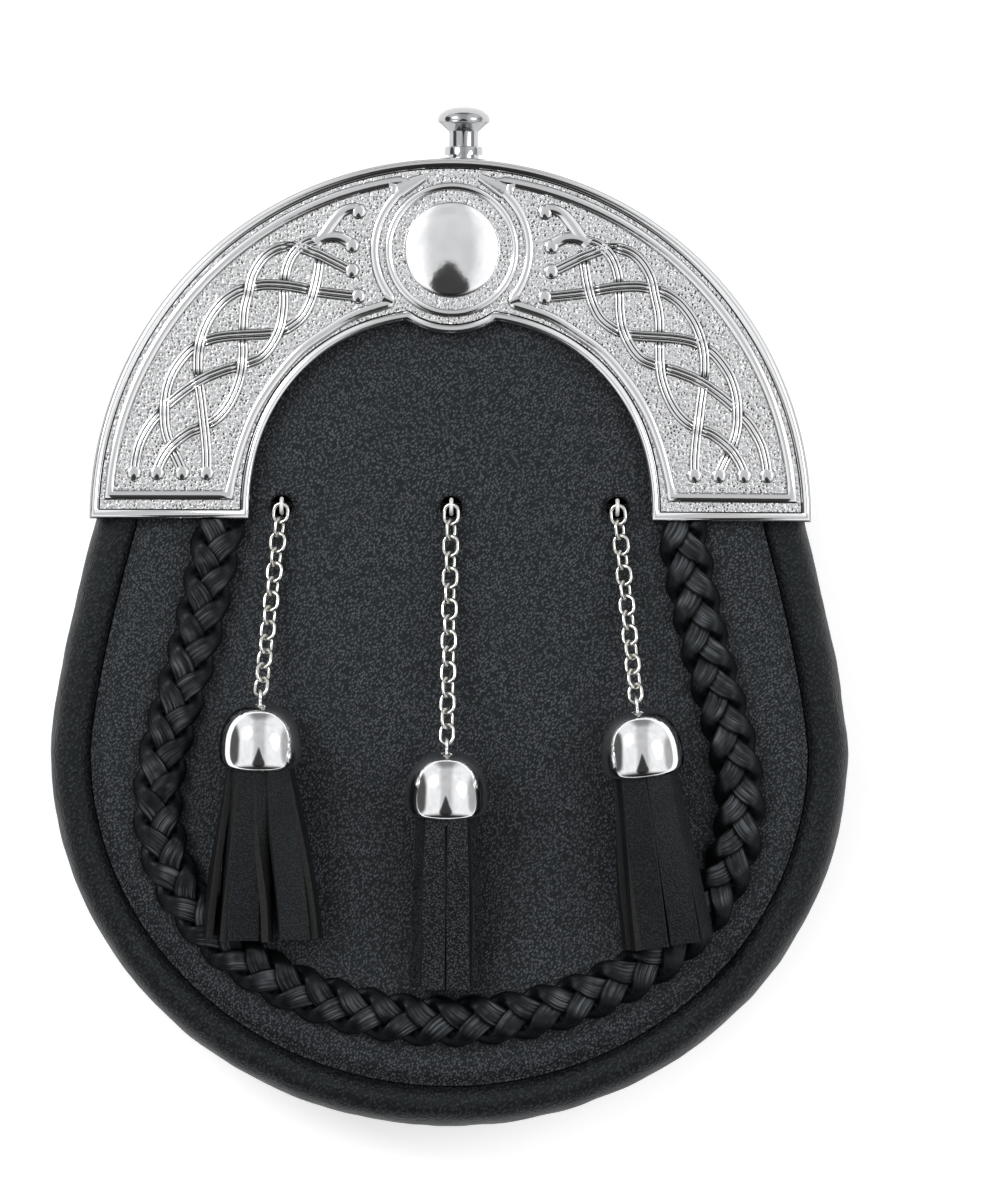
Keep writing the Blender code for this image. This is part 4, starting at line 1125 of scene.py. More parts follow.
# Sections of the raised work: (offset, height, across mark) rows as shares of half width and height; an
# across mark near ±1 paints a shade line at the work's foot and in the ribbons' grooves
BORDER_ROWS = (
    (-1.0, -0.45, -1.0), (-0.99, 0.05, -1.0), (-0.91, 0.45, -1.0), (-0.86, 0.62, -0.6), (-0.52, 0.94, 0.0),
    (0.0, 1.0, 0.0), (0.52, 0.94, 0.0), (0.86, 0.62, 0.6), (0.91, 0.45, 1.0), (0.99, 0.05, 1.0),
    (1.0, -0.45, 1.0),
)
RIBBON_ROWS = (
    (-1.0, -0.5, -1.0), (-0.99, 0.0, -1.0), (-0.88, 0.45, -1.0), (-0.80, 0.82, -0.4), (-0.64, 0.92, 0.0),
    (-0.50, 0.80, -0.4), (-0.44, 0.50, -1.0), (-0.31, 0.50, -1.0), (-0.25, 0.82, -0.4), (-0.12, 0.98, 0.0),
    (0.12, 0.98, 0.0), (0.25, 0.82, 0.4), (0.31, 0.50, 1.0), (0.44, 0.50, 1.0), (0.50, 0.80, 0.4),
    (0.64, 0.92, 0.0), (0.80, 0.82, 0.4), (0.88, 0.45, 1.0), (0.99, 0.0, 1.0), (1.0, -0.5, 1.0),
)


def raised(rows, half_width, height):
    """A section of raised work, rooted in the cantle's ground."""
    section = []
    for offset, up, mark in rows:
        level = FACE + height * up if up > 0 else FACE + RELIEF_ROOT * up
        section.append((offset * half_width, level, mark))
    return section


def round_corner(before, corner, after, radius, steps=6):
    """The points of an arc in place of a corner."""
    back, ahead = (before - corner).normalized(), (after - corner).normalized()
    half = back.angle(ahead) / 2
    centre = corner + (back + ahead).normalized() * (radius / math.sin(half))
    first = corner + back * (radius / math.tan(half)) - centre
    last = corner + ahead * (radius / math.tan(half)) - centre
    arc = [first.lerp(last, i / steps).normalized() * radius for i in range(steps + 1)]
    return [centre + way for way in arc]


# The border round the left-hand field, in the photograph's pixels: its ear and tip above and below the
# medallion, its two feet, and its inner side between tip and foot
BORDER_EAR = (422.5, 178)
BORDER_TIP = (392.5, 303.5)
BORDER_FEET = ((109, 497), (229, 496.5))
BORDER_INNER = ((352, 317), (321, 336), (297, 354), (274, 381), (255, 411), (241, 446), (232, 480))
# The solid wedges that fill the ear and the tip: pixels of root and end, and half widths there in millimetres
EARS = (((397, 191.5), (422.5, 178.5), 2.1, 0.95), ((383, 298), (392, 303), 1.7, 0.9))
EAR_RADIUS = 1.18 * MM
CORNER_CLEARANCE = 2.5 * MM
FOOT_STEP = 2 * MM


def border_line():
    """The middle of the raised border round the left-hand field."""
    ear, tip = from_photo(*BORDER_EAR), from_photo(*BORDER_TIP)
    foot_outer, foot_inner = (from_photo(*foot) for foot in BORDER_FEET)
    start = math.degrees(math.atan2(foot_outer.y, foot_outer.x))
    stop = math.degrees(math.atan2(ear.y, ear.x))
    beside_medal = spaced(medal_angle(ear), medal_angle(tip) % 360, 22)
    inner = [from_photo(*pixel) for pixel in BORDER_INNER]
    runs = [
        [polar(BORDER_RADIUS, a) for a in spaced(start, stop, 60)],
        [MEDAL_CENTRE + polar(BORDER_SIDE_RADIUS, a) for a in beside_medal],
        [Vector(p) for p in smooth_line([tip, *inner, foot_inner], 1.6 * MM)],
    ]
    corners = [foot_outer, ear, tip, foot_inner]
    line = [foot_outer]
    for run, corner in zip(runs, corners[1:]):
        line += [p for p in run if min((p - c).length for c in corners) > CORNER_CLEARANCE] + [corner]
    step = FOOT_STEP / (foot_inner - foot_outer).length
    line += [foot_inner.lerp(foot_outer, share) for share in (step, 0.5, 1 - step)]
    blunted = []
    for i, spot in enumerate(line):
        pointed = spot in (ear, tip)
        blunted += round_corner(line[i - 1], spot, line[i + 1], EAR_RADIUS) if pointed else [spot]
    return blunted


# The interlace of the left-hand field in the photograph: each strand from its foot to where it ends
STRAND_ROUTES = {
    "outer": (
        (134, 472), (136, 459), (140.5, 443), (150, 426), (160.5, 414), (172, 402.5), (186.5, 391),
        (203, 380.5), (219.5, 373.5), (233, 369), (250, 363.5), (261, 358), (271, 346), (279, 329),
        (282, 310.5), (282.5, 292), (284.5, 273), (291.5, 256), (304, 245), (320, 240),
    ),
    "second": (
        (157, 472), (163, 459), (172, 447), (186.5, 435.5), (198, 430), (213, 423), (225, 411), (234, 395),
        (240, 376.5), (242, 358), (242, 339), (243, 315), (247, 296), (251.5, 277), (261, 261), (274, 251.5),
        (291, 248), (311.5, 254), (328, 261.5), (345, 270),
    ),
    "third": (
        (182, 472), (176, 459), (169, 444), (165, 430), (164, 414), (165.5, 395), (171.5, 376), (182, 360),
        (193.5, 349), (209, 341.5), (227, 338), (250, 336.5), (267, 335.5), (279, 333.5), (291, 327),
        (302, 317), (310, 301), (315, 282), (317.5, 266), (319, 250),
    ),
    "inner": (
        (206.5, 472), (206.5, 457), (205, 438), (203, 421), (201, 404), (198.5, 386), (197, 368),
        (198, 351), (202.5, 334), (210, 318), (222, 303), (236, 293.5), (249, 289), (265, 286.5),
        (286, 287.5), (304, 290.5), (321, 294), (352, 297.5),
    ),
}
# Where strands cross: the pixel, the strand on top and the strand beneath
CROSSINGS = (
    (172, 450, "second", "third"), (163, 411, "third", "outer"), (203, 427, "inner", "second"),
    (198, 381, "outer", "inner"), (198, 346, "inner", "third"), (240, 367, "second", "outer"),
    (242, 337, "third", "second"), (248, 291, "second", "inner"), (278, 333, "outer", "third"),
    (283, 287, "inner", "outer"), (290, 249, "outer", "second"), (311, 293, "third", "inner"),
    (315, 257, "second", "third"),
)
# The plain fingers that end the strands: a line of pixels, and the half width at each end in millimetres
FINGERS = (
    (((314, 245), (322, 237), (330, 225), (340, 214), (352, 209.5), (357, 213)), 1.5, 1.2),
    (((314, 243), (325, 239), (337, 239), (346, 243), (350.5, 247)), 1.45, 1.3),
)
BUDS = (
    (134, 474.5), (157, 474.5), (182, 474.5), (206.5, 474.5),
    (357, 213), (350.5, 247), (350.5, 272), (357, 297.5),
)


def crossing_marks(name, line):
    """How much a strand rises and dips where it crosses the others, and how much it is shaded there."""
    lifts, shades = np.zeros(len(line)), np.zeros(len(line))
    for x, y, over, under in CROSSINGS:
        if name in (over, under):
            spot = np.array(from_photo(x, y))
            near = line[np.argmin(np.linalg.norm(line - spot, axis=1))]
            reach = np.linalg.norm(line - near, axis=1)
            lifts += np.exp(-((reach / CROSS_REACH) ** 4)) * (CROSS_OVER if name == over else -CROSS_UNDER)
            if name == under:
                shades = np.maximum(shades, np.exp(-((reach / SHADE_REACH) ** 8)))
    return lifts, shades


# A bud's section: shares of its radius and height
BUD_ROWS = (
    (0, 1.0), (0.55, 0.98), (0.76, 0.86), (0.86, 0.6), (0.93, 0.3), (0.99, 0.1), (1.0, -0.3), (0, -0.3),
)
BUD_RIM = 0.9  # share of the radius past which a bud gets painted shade, a dark line round its foot


def bud_form(x, y):
    """A rounded bud at the end of a strand."""
    form = turned([(BUD_RADIUS * r, FACE + BUD_HEIGHT * h) for r, h in BUD_ROWS], 28)
    reach = np.hypot(form.points[:, 0], form.points[:, 1])
    form.marks[0] = np.where(reach > BUD_RIM * BUD_RADIUS, 1.0, 0.0)
    spot = from_photo(x, y)
    return form.placed(Matrix.Translation((spot.x, spot.y, 0)))


def make_interlace(side):
    """The interlace of one field: four ribbons of three ridges, woven, with fingers and buds."""
    forms = []
    for name, route in STRAND_ROUTES.items():
        line = smooth_line([from_photo(x, y) for x, y in route], 0.45 * MM)
        lifts, shades = crossing_marks(name, line)
        section = raised(RIBBON_ROWS, RIBBON_HALF_WIDTH, RIBBON_HEIGHT)
        forms.append(moulding(line, section, lifts=lifts, tones=shades))
    for route, first, last in FINGERS:
        line = smooth_line([from_photo(x, y) for x, y in route], 0.4 * MM)
        widths = np.linspace(first, last, len(line))
        forms.append(moulding(line, raised(BORDER_ROWS, 1.0 * MM, BUD_HEIGHT * 0.96), widths=widths))
    forms += [bud_form(x, y) for x, y in BUDS]
    form = join(forms)
    if side == "right":
        form = form.mirrored()
    return make_piece(f"interlace_{side}", form, CAST_BRIGHT, "pouch", smooth=50)


# The rim's section: millimetres in from the edge and above the ground, and the across mark, which paints
# shade lines along the rim's outer lip and its inner side
RIM_ROWS = (
    (-0.15, 0.15, -0.95), (0.0, 0.5, -0.7), (0.3, 0.8, -0.4), (0.6, 0.92, 0.0), (1.0, 0.88, 0.0),
    (1.7, 0.38, 0.6), (1.82, 0.25, 1.0), (2.05, 0.05, 1.0), (2.1, -0.2, 1.0),
)
# The dome's section: shares of its radius and height
DOME_ROWS = (
    (0, 1.0), (0.25, 0.965), (0.5, 0.85), (0.7, 0.68), (0.85, 0.48), (0.94, 0.3), (0.985, 0.12), (1.0, -0.2),
)


def rim_form():
    """The raised rim all round the cantle, down to the leather."""
    foot = POUCH_DEPTH + GAP
    rows = [(-offset * MM, FACE + up * MM, mark) for offset, up, mark in RIM_ROWS]
    rows = [(0.15 * MM, foot, -1.0), *rows, (-1.0 * MM, foot, 0.9)]
    return moulding([Vector(p) for p in plate_outline()], rows, True)


def border_forms():
    """The raised border of the left-hand field, with its filled ears."""
    forms = [moulding(border_line(), raised(BORDER_ROWS, BORDER_HALF_WIDTH, BORDER_HEIGHT), True)]
    for root, tip, *widths in EARS:
        line = evenly([from_photo(*root), from_photo(*tip)], 0.5 * MM)
        widths = np.linspace(*widths, len(line))
        forms.append(moulding(line, raised(BORDER_ROWS, 1.0 * MM, BORDER_HEIGHT * 1.06), widths=widths))
    return forms


def make_cantle():
    """The cast front in bright pieces over a stippled ground."""
    ground = flat_sheet(plate_outline(), FACE - PLATE_WALL, FACE)
    make_piece("cantle_ground", ground, CAST_GROUND, "pouch", ["cantle"], 30)
    forms = [rim_form()]
    for border in border_forms():
        forms += [border, border.mirrored()]
    ring = [MEDAL_CENTRE + polar(RING_RADIUS, a) for a in spaced(0, 360, 120)[:-1]]
    forms.append(moulding(ring, raised(BORDER_ROWS, RING_HALF_WIDTH, RING_HEIGHT), True))
    make_piece("cantle_mouldings", join(forms), CAST_BRIGHT, "pouch", smooth=50)
    dome_rows = smooth_line([Vector(row) for row in DOME_ROWS], 0.03).tolist() + [(0, -0.2)]
    dome = turned([(max(0.0, DOME_RADIUS * r), FACE + DOME_HEIGHT * h) for r, h in dome_rows], 96)
    # The dome's outermost ring is marked for a painted shade line round its foot.
    dome.marks[0] = np.where(dome.marks[0] > 0.9, 1.0, 0.0)
    dome.placed(Matrix.Translation((0, MEDAL_CENTRE.y, 0)))
    make_piece("cantle_dome", dome, DOME_CHROME, "pouch", smooth=50)
    for side in ("left", "right"):
        make_interlace(side)
    make_flange()


def make_flange():
    """The deep band round the cantle's outside, with softened edges."""
    front, rear = CANTLE_RADIUS, CANTLE_RADIUS + FLANGE_FLARE
    edge, lip = 0.3 * MM, FLANGE_TOP + 0.35 * MM
    section = (
        (front - FLANGE_WALL, FLANGE_TOP - edge), (front - FLANGE_WALL + edge, lip), (front - edge, lip),
        (front, FLANGE_TOP - edge), (rear, FLANGE_REAR + edge), (rear - edge, FLANGE_REAR),
        (rear - FLANGE_WALL + edge, FLANGE_REAR), (rear - FLANGE_WALL, FLANGE_REAR + edge),
    )
    rings = []
    for degrees in spaced(0, 180, 160):
        ring = []
        for radius, level in section:
            spot = polar(radius, degrees)
            ring.append((spot.x, max(0.0, spot.y), level))
        rings.append(ring)
    # The across mark of 0.95 gives a painted shade line along the flange's inner top edge.
    form = swept(rings, across=np.array([0.95, 0.2, 0.0, 0.0, 0.0, 0.0, 0.3, 0.5]))
    return make_piece("cantle_flange", form, CAST_BRIGHT, "pouch", smooth=40)


# The knob


def rounded(rows, spacing):
    """A turned profile made smooth between its rows, without crossing the axis."""
    return [(max(0.0, r), h) for r, h in smooth_line([Vector(row) for row in rows], spacing)]


KNOB_HEAD = 5.92 * MM
KNOB_STEM = 3.3 * MM
KNOB_DISC = 4.8 * MM
COLLAR_BORE = 3.6 * MM
COLLAR_RADIUS = 4.3 * MM


def make_knob():
    """The press knob and the ring that guides it."""
    low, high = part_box("knob")
    ring_low, ring_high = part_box("knob_collar")
    middle = (low.x + high.x) / 2, 0, (low.z + high.z) / 2
    place = Matrix.Translation(middle) @ Matrix.Rotation(-math.pi / 2, 4, "X")
    top, foot = high.y, low.y
    head, stem, disc = KNOB_HEAD, KNOB_STEM, KNOB_DISC
    crown = [(0, top), (2.2 * MM, top - 0.12 * MM), (4.2 * MM, top - 0.75 * MM)]
    crown = rounded(crown + [(5.5 * MM, top - 1.8 * MM), (head, top - 2.7 * MM)], 0.3 * MM)
    profile = crown + [
        (head, top - 3.4 * MM), (head - 0.25 * MM, top - 3.75 * MM), (head - 0.8 * MM, top - 4.1 * MM),
        (stem + 0.55 * MM, top - 5.25 * MM), (stem + 0.1 * MM, top - 5.6 * MM), (stem, top - 6.1 * MM),
        (stem, foot + 1.3 * MM), (disc - 0.2 * MM, foot + 1.2 * MM), (disc, foot + 1.0 * MM),
        (disc, foot + 0.2 * MM), (disc - 0.2 * MM, foot), (0, foot),
    ]
    knob = turned(profile, 56).placed(place)
    make_piece("knob_button", knob, KNOB_CHROME, "knob_body", ["knob"], 40)
    bore, outside, top = COLLAR_BORE, COLLAR_RADIUS, ring_high.y
    profile = [
        (bore, ring_low.y), (outside, ring_low.y), (outside, top - 0.5 * MM),
        (outside - 0.15 * MM, top - 0.12 * MM), (outside - 0.4 * MM, top), (bore + 0.1 * MM, top),
        (bore, top - 0.1 * MM),
    ]
    ring = turned(profile, 56).placed(place)
    make_piece("knob_ring", ring, KNOB_CHROME, "pouch", ["knob_collar"], 40)


# The tassels: where each chain leaves the panel and each bell starts (x and drop), the lean to the right in
# degrees and the number of links. Each strip has its place round the bell's mouth in degrees, its place at
# the end (across and up from the panel in millimetres), the way its face looks there in degrees, its width
# in millimetres and its length as a share.
TASSELS = (
    {
        "name": "left", "hole": -37.7 * MM, "bell": (-42.0 * MM, 40.9 * MM), "lean": -0.5, "links": 13,
        "strips": (
            (172, -11.2, 4.6, 168, 5.6, 0.99), (148, -7.6, 7.2, 176, 5.8, 1.0),
            (112, -3.0, 10.4, 94, 7.0, 0.995), (80, 2.3, 9.6, 12, 5.6, 1.0), (52, 8.3, 9.2, 74, 6.8, 0.99),
            (14, 13.3, 5.2, 14, 5.6, 0.985), (230, -6.0, 2.6, 250, 6.0, 0.97),
            (310, 4.8, 2.6, 280, 6.0, 0.975),
        ),
    },
    {
        "name": "middle", "hole": 0.2 * MM, "bell": (-0.5 * MM, 51.4 * MM), "lean": 0.0, "links": 15,
        "strips": (
            (112, -2.75, 7.4, 94, 5.2, 1.0), (68, 2.75, 7.4, 86, 5.2, 1.0),
            (158, -6.2, 4.8, 152, 4.6, 0.99), (22, 6.2, 4.8, 28, 4.6, 0.99),
            (215, -4.2, 2.2, 235, 5.6, 0.985), (325, 4.2, 2.2, 305, 5.6, 0.985),
        ),
    },
    {
        "name": "right", "hole": 37.3 * MM, "bell": (41.8 * MM, 42.0 * MM), "lean": 7.4, "links": 13,
        "strips": (
            (115, -2.6, 10.2, 95, 6.2, 1.0), (66, 4.2, 10.2, 86, 6.4, 0.995),
            (28, 8.9, 7.6, 28, 5.0, 0.985), (158, -6.8, 8.0, 166, 5.4, 1.0),
            (186, -8.4, 4.6, 172, 5.4, 0.995), (240, -3.8, 3.4, 255, 6.0, 0.98),
            (300, 4.0, 3.6, 285, 6.0, 0.98),
        ),
    },
)
BELL_TILT = 8.0  # degrees that a bell's mouth leans into the panel
BELL_LIFT = 0.3 * MM
STRIP_THICKNESS = 1.6 * MM
STRIP_ROOT = 5.9 * MM  # distance of the strips' tops from the bell's axis
# A bell's section inside and outside: shares of its radius and height
BELL_INNER_ROWS = ((0.82, 0.985), (0.80, 0.93), (0.88, 0.80), (0.86, 0.55), (0.70, 0.26), (0, 0.09))
BELL_ROWS = (
    (0, 0), (0.2, 0.007), (0.39, 0.038), (0.56, 0.095), (0.695, 0.17), (0.805, 0.26), (0.885, 0.36),
    (0.945, 0.47), (0.98, 0.59), (0.998, 0.72), (0.998, 0.83), (0.98, 0.91), (0.95, 0.965), (0.90, 1.0),
)


def bell_place(tassel):
    """A bell's place: its own Z runs from its top down the tassel and its own Y out of the panel."""
    name = tassel["name"]
    low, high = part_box(f"tassel_cap_{name}")
    turn = math.radians(tassel["lean"])
    way = Vector((math.sin(turn), -math.cos(turn), 0))
    side = UP.cross(way)
    place = Matrix((side, UP, way)).transposed().to_4x4()
    x, drop = tassel["bell"]
    place.translation = (x, -drop, (low.z + high.z) / 2)
    return place


def make_bell(tassel):
    """A bell of thin metal with a rolled lip and a wire eye."""
    name = tassel["name"]
    place = bell_place(tassel)
    profile = [(BELL_RADIUS * r, BELL_HEIGHT * h) for r, h in (*rounded(BELL_ROWS, 0.02), *BELL_INNER_ROWS)]
    lean = Matrix.Rotation(math.radians(BELL_TILT), 4, "X")
    tilt = Matrix.Translation((0, BELL_LIFT, BELL_HEIGHT / 2)) @ lean
    tilt = tilt @ Matrix.Translation((0, 0, -BELL_HEIGHT / 2))
    bell = turned(profile, 96).placed(place @ tilt)
    centre = place @ Vector((0, 0, LINK_WIRE - EYE_RADIUS))
    way = place.to_3x3() @ UP
    eye = wire_ring(centre, way, UP, EYE_RADIUS, EYE_RADIUS, LINK_WIRE, 24, 10)
    form = join([bell, eye])
    return make_piece(f"bell_{name}", form, BELL_CHROME, "pouch", [f"tassel_cap_{name}"], 50)


# A strip's section: shares of its half width and half thickness, and whether the point is on a cut edge
STRIP_SECTION = (
    (-0.95, 1.0, 0.0), (-0.5, 1.04, 0.0), (0.0, 1.06, 0.0), (0.5, 1.04, 0.0), (0.95, 1.0, 0.0),
    (0.955, 1.0, 1.0), (1.0, 0.8, 1.0), (1.0, -0.8, 1.0), (0.955, -1.0, 1.0),
    (0.95, -1.0, 0.0), (0.0, -1.0, 0.0), (-0.95, -1.0, 0.0),
    (-0.955, -1.0, 1.0), (-1.0, -0.8, 1.0), (-1.0, 0.8, 1.0), (-0.955, 1.0, 1.0),
)
STRIP_STEPS = 26
# The head that holds the strips: shares of their distance from the axis and of the bell's height
HEAD_ROWS = ((0, 0.30), (0.9, 0.30), (1.0, 0.36), (1.0, 1.18), (0.8, 1.26), (0, 1.28))


def make_tassel(tassel):
    """Cut strips that fan out of the bell, over the head that holds them."""
    name = tassel["name"]
    place = bell_place(tassel)
    panel = panel_top(*(place @ Vector((0, 0, TASSEL_LENGTH))).xy)
    axis_height = place.translation.z - panel
    section = np.array(STRIP_SECTION)
    forms = []
    for number, (root, across, height, facing, width, share) in enumerate(tassel["strips"]):
        top = polar(STRIP_ROOT, root)
        end = Vector((across * MM, height * MM - axis_height))
        start, stop = BELL_HEIGHT * 0.72, TASSEL_LENGTH * share
        rings = []
        for step in np.linspace(0, 1, STRIP_STEPS):
            out = ease(step) * 0.35 + step * 0.65
            spot = top.lerp(end, out)
            bow = math.sin(math.pi * step) * ripple((number * 3.1, across, step * 0.7), 1.0, 1.1 * MM)
            waver = ripple((number * 1.7, step * 1.6, across), 1.0, 7.0)
            look = math.radians(blend(root, facing, ease(step * 1.15)) + waver)
            face, flat = Vector((math.cos(look), math.sin(look))), Vector((math.sin(look), -math.cos(look)))
            spot = spot + face * bow
            half = width * MM / 2 * blend(0.86, 1.0, ease(step * 2))
            ring = []
            for u, v, _ in section:
                point = spot + flat * (u * half) + face * (v * STRIP_THICKNESS / 2)
                ring.append(tuple(place @ Vector((point.x, point.y, blend(start, stop, step)))))
            rings.append(ring)
        forms.append(swept(rings, section[:, 0], np.linspace(0, 1, STRIP_STEPS), tone=section[:, 2]))
    head = turned([(STRIP_ROOT * r, BELL_HEIGHT * h) for r, h in HEAD_ROWS], 32)
    form = join([*forms, head.placed(place)])
    leather = MIDDLE_STRIPS_PAINTED_BRIGHT if name == "middle" else SIDE_STRIPS_PAINTED_DIM
    return make_piece(f"strips_{name}", form, leather, "pouch", [f"tassel_{name}"], 32)


LINK_ROLLS = (math.radians(12), math.radians(-60))  # of the links that lie flat and of those on edge
STAPLE_DEPTH = 2.2 * MM
BAR_LIFT = 1.1 * MM
# The bar behind the panel: radius and place along it, in millimetres
BAR_ROWS = ((0, -5), (0.8, -5), (0.9, -4.8), (0.9, 4.8), (0.8, 5), (0, 5))


def make_chain(tassel, tree):
    """A chain from its staple in the panel to the bell's eye."""
    name = tassel["name"]
    place = bell_place(tassel)
    grip = LINK_WIRE * 1.1
    hole = tassel["hole"]
    start = Vector((hole, HOLE_LEVEL, panel_top(hole, HOLE_LEVEL) + CHAIN_LIE))
    eye_tip = place @ Vector((0, 0, LINK_WIRE - 2 * EYE_RADIUS))
    end = eye_tip + place.to_3x3() @ Vector((0, 0, 2 * LINK_WIRE + GAP - grip))

    def contact(share):
        spot = start.lerp(end, share)
        floor = panel_top(spot.x, spot.y) + CHAIN_LIE
        spot.z = blend(floor, end.z, share**CHAIN_SAG)
        return spot

    count = tassel["links"]
    spots = [contact(i / count) for i in range(count + 1)]
    middles = [(a + b) / 2 for a, b in zip(spots, spots[1:])]
    values = {
        "Link Count": count, "Half Length": (spots[1] - spots[0]).length / 2 + grip,
        "Half Width": LINK_HALF_WIDTH, "Wire Radius": LINK_WIRE,
        "Flat Roll": LINK_ROLLS[0], "Edge Roll": LINK_ROLLS[1], "Material": LINK_CHROME,
    }
    links = grow(f"chain_links_{name}", middles, tree, values)
    top, foot = start.z + grip, POUCH_DEPTH - PANEL_THICKNESS - STAPLE_DEPTH
    centre = Vector((start.x, start.y, (top + foot) / 2))
    staple = wire_ring(centre, UP, (0, -1, 0), (top - foot) / 2, LINK_HALF_WIDTH, LINK_WIRE, 32, 12)
    spare = bpy.data.meshes.new("staple")
    spare.from_pydata(staple.points.tolist(), [], staple.faces)
    bar = turned([(r * MM, h * MM) for r, h in BAR_ROWS], 16)
    bar.placed(Matrix.Translation((start.x, start.y, foot + BAR_LIFT)) @ Matrix.Rotation(math.pi / 2, 4, "Y"))
    make_piece(f"chain_bar_{name}", bar, DARK_STEEL, "pouch")
    mend(links.data, spare)
    bpy.data.meshes.remove(spare)
    return seat(links, "pouch", [f"chain_{name}"], 60)


# The plaited band


def band_line():
    """The band's middle: down one side from the cantle, round the bottom and up the other."""
    right = []
    for i in range(60):
        share = i / 60
        sway = share * (1 - share) + share * (1 - math.cos(math.pi * share)) / 2
        drop = blend(GAP, BAND_BELLY_DROP, share)
        right.append(Vector((blend(BAND_TOP_HALF_SPAN, BAND_HALF_SPAN, sway), -drop)))
    bowl = BAND_BOTTOM_DROP - BAND_BELLY_DROP
    for i in range(91):
        angle = math.pi / 2 * i / 90
        right.append(Vector((BAND_HALF_SPAN * math.cos(angle), -BAND_BELLY_DROP - bowl * math.sin(angle))))
    right[-1].x = 0.0
    return right + [Vector((-p.x, p.y)) for p in reversed(right[:-1])]


# A lace's section: shares of its half width and half thickness
LACE_SECTION = (
    (-1.0, 0.0), (-0.93, 0.55), (-0.78, 0.86), (-0.4, 1.05), (0.0, 1.12), (0.4, 1.05), (0.78, 0.86),
    (0.93, 0.55), (1.0, 0.0), (0.93, -0.6), (0.5, -0.9), (0.0, -0.95), (-0.5, -0.9), (-0.93, -0.6),
)


def make_plait():
    """Three flat laces plaited over and under each other."""
    line = evenly(band_line(), LACE_STEP)
    normals = side_normals(line, False)
    count = len(line)
    section = np.array(LACE_SECTION)
    periods = round(LACE_STEP * (count - 1) / PLAIT_PERIOD)
    forms = []
    for lace in range(3):
        turns = np.linspace(0, 2 * math.pi * periods, count) + 2 * math.pi * lace / 3
        across = PLAIT_SWING * (np.sin(turns) - LACE_FLAT * np.sin(3 * turns)) / (1 + LACE_FLAT)
        levels = POUCH_DEPTH + GAP + LACE_LIFT + PLAIT_RISE * np.sin(2 * turns)
        spine = np.column_stack([line + normals * across[:, None], levels])
        way = np.gradient(spine, axis=0)
        way /= np.linalg.norm(way, axis=1)[:, None]
        side = np.cross(way, (0.0, 0.0, 1.0))
        side /= np.linalg.norm(side, axis=1)[:, None]
        up = np.cross(side, way)
        outwards = np.sin(turns)
        roll = np.radians(LACE_ROLL) * outwards * np.abs(outwards) ** 3
        turn_side = side * np.cos(roll)[:, None] - up * np.sin(roll)[:, None]
        turn_up = up * np.cos(roll)[:, None] + side * np.sin(roll)[:, None]
        pinch = 1 - LACE_PINCH * np.abs(outwards) ** 6
        wide = section[None, :, 0] * LACE_HALF_WIDTH * pinch[:, None]
        thick = section[None, :, 1] * LACE_HALF_THICKNESS / pinch[:, None]
        rings = spine[:, None, :] + turn_side[:, None, :] * wide[:, :, None]
        rings = rings + turn_up[:, None, :] * thick[:, :, None]
        along = np.arange(count) * LACE_STEP
        forms.append(swept(rings, section[:, 0], along + lace, tone=np.abs(outwards)[:, None]))
    form = join(forms)
    form.points[:, 1] = np.minimum(form.points[:, 1], PLAIT_END)
    return make_piece("plaited_laces", form, LACING, "pouch", ["plaited_band"], 50)


# Stage


FLOOR_REACH = 2.5
FLOOR_LEVEL = -0.2 * MM
LAMPS = (((-0.60, 0.35, 0.75), 4.0), ((0.65, 0.1, 0.70), 2.0))  # place and power
LAMP_SIZE = 0.45
LAMP_AIM = Vector((0, -0.03, 0.03))
CAMERA_LENS = 300.0
CAMERA_SENSOR = 36.0
CAMERA_LEVEL = 30.0 * MM  # the level at which a pixel is as large as in the photograph
CAMERA_ROLL = 0.3


def linked(name, data):
    """A new object in the scene."""
    made = bpy.data.objects.new(name, data)
    bpy.context.scene.collection.objects.link(made)
    return made


def make_floor():
    """A plain pale floor that glows a little, as paper under bright light does."""
    mesh = bpy.data.meshes.new("floor")
    corners = [(x * FLOOR_REACH, y * FLOOR_REACH, 0) for x, y in ((-1, -1), (1, -1), (1, 1), (-1, 1))]
    mesh.from_pydata(corners, [], [(0, 1, 2, 3)])

    def paper(bench):
        grain = bench.noise(bench.place(), 2 * MM, 2.0)
        return {"Base Color": bench.mix(grain, *PAPER_TONES)}

    glow = {"Emission_Color": (1, 1, 1, 1), "Emission_Strength": 0.45}
    mesh.materials.append(finish("pale_floor", paper, Roughness=0.9, **glow))
    floor = linked("floor", mesh)
    floor.location.z = FLOOR_LEVEL


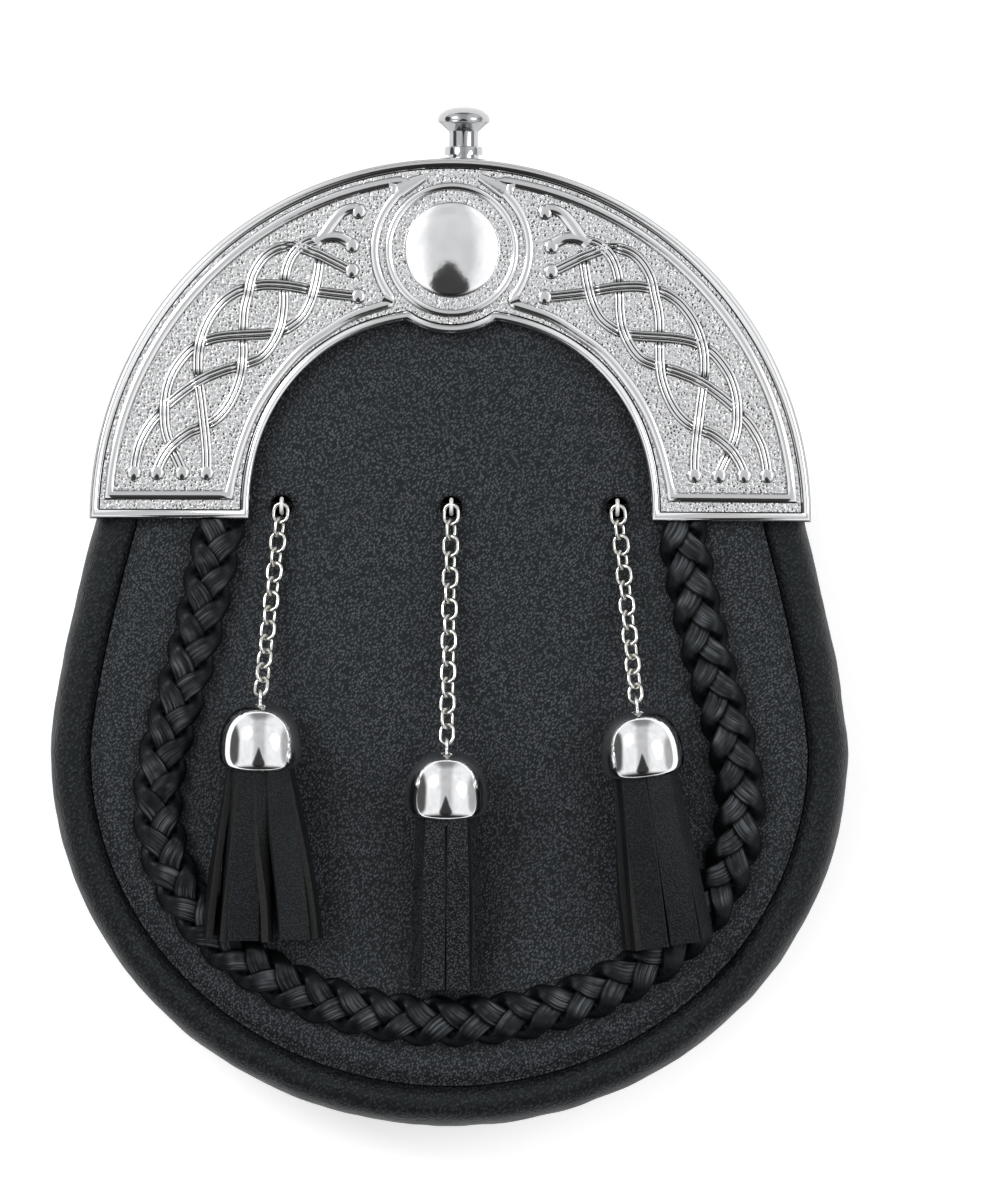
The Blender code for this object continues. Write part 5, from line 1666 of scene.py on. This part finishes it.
def make_world():
    """Soft light from all round, with brighter sides, dark ends and a dark patch that the metal mirrors."""
    world = bpy.data.worlds.new("studio")
    bpy.context.scene.world = world
    world.use_nodes = True
    bench = Bench(world.node_tree)
    look = bench.node("ShaderNodeTexCoord", out="Generated")
    x, y = look.axis("X"), look.axis("Y")
    panels = abs(x).between(0.16, 0.40)
    ends = (y * -1.0).between(0.56, 0.80).most(y.between(0.84, 0.97) * 0.6)
    left_wall = (x * -1.0).between(0.80, 0.90)
    right_wall = x.between(0.84, 0.94) * 0.6
    clouds = bench.noise(look, 0.22, 3.0).between(0.3, 0.7)
    patch_place = ((x + 0.03) / (0.09 - y * 0.42)) ** 2 + ((y + 0.42) / 0.37) ** 2
    patch = 1 - patch_place.between(0.75, 1.1)
    shade = (panels * 0.42 + 0.66) * (clouds * 0.16 + 0.9)
    shade = shade * (1 - ends * 0.96) * (1 - left_wall.most(right_wall) * 0.9) * (1 - patch * 0.93)
    grey = bench.vector(shade, shade, shade * 1.01)
    background = world.node_tree.nodes["Background"]
    world.node_tree.links.new(grey.socket, background.inputs["Color"])
    background.inputs["Strength"].default_value = 1.0


def make_lamps():
    """Two soft lamps above the left and the right side."""
    for spot, power in LAMPS:
        lamp = bpy.data.lights.new("soft_light", "AREA")
        lamp.shape = "DISK"
        lamp.size = LAMP_SIZE
        lamp.energy = power
        made = linked("soft_light", lamp)
        made.location = spot
        made.rotation_euler = (LAMP_AIM - Vector(spot)).to_track_quat("-Z", "Y").to_euler()


def make_camera():
    """A camera straight above the front, far enough away for the photograph's flat view."""
    middle = from_photo(PHOTO_SIZE[0] / 2, PHOTO_SIZE[1] / 2)
    distance = PHOTO_SIZE[1] * PIXEL * CAMERA_LENS / CAMERA_SENSOR
    camera = bpy.data.cameras.new("camera")
    camera.lens = CAMERA_LENS
    camera.sensor_width = CAMERA_SENSOR
    camera.clip_end = 10
    made = linked("camera", camera)
    made.location = (middle.x, middle.y, CAMERA_LEVEL + distance)
    made.rotation_euler = (0, 0, math.radians(CAMERA_ROLL))
    bpy.context.scene.camera = made


PANEL_EDGE = panel_boundary()

make_back_skin()
make_back_stitches()
make_gusset_skin()
make_front_skin()
make_plait()
make_cantle()
make_knob()
links_tree = chain_rig()
for tassel in TASSELS:
    make_bell(tassel)
    make_tassel(tassel)
    make_chain(tassel, links_tree)
for side in ("left", "right"):
    frame["nodes"][f"strap_tab_{side}"].data.materials[0] = TAB_STEEL
make_floor()
make_world()
make_lamps()
make_camera()
bpy.context.scene.view_settings.view_transform = "Standard"
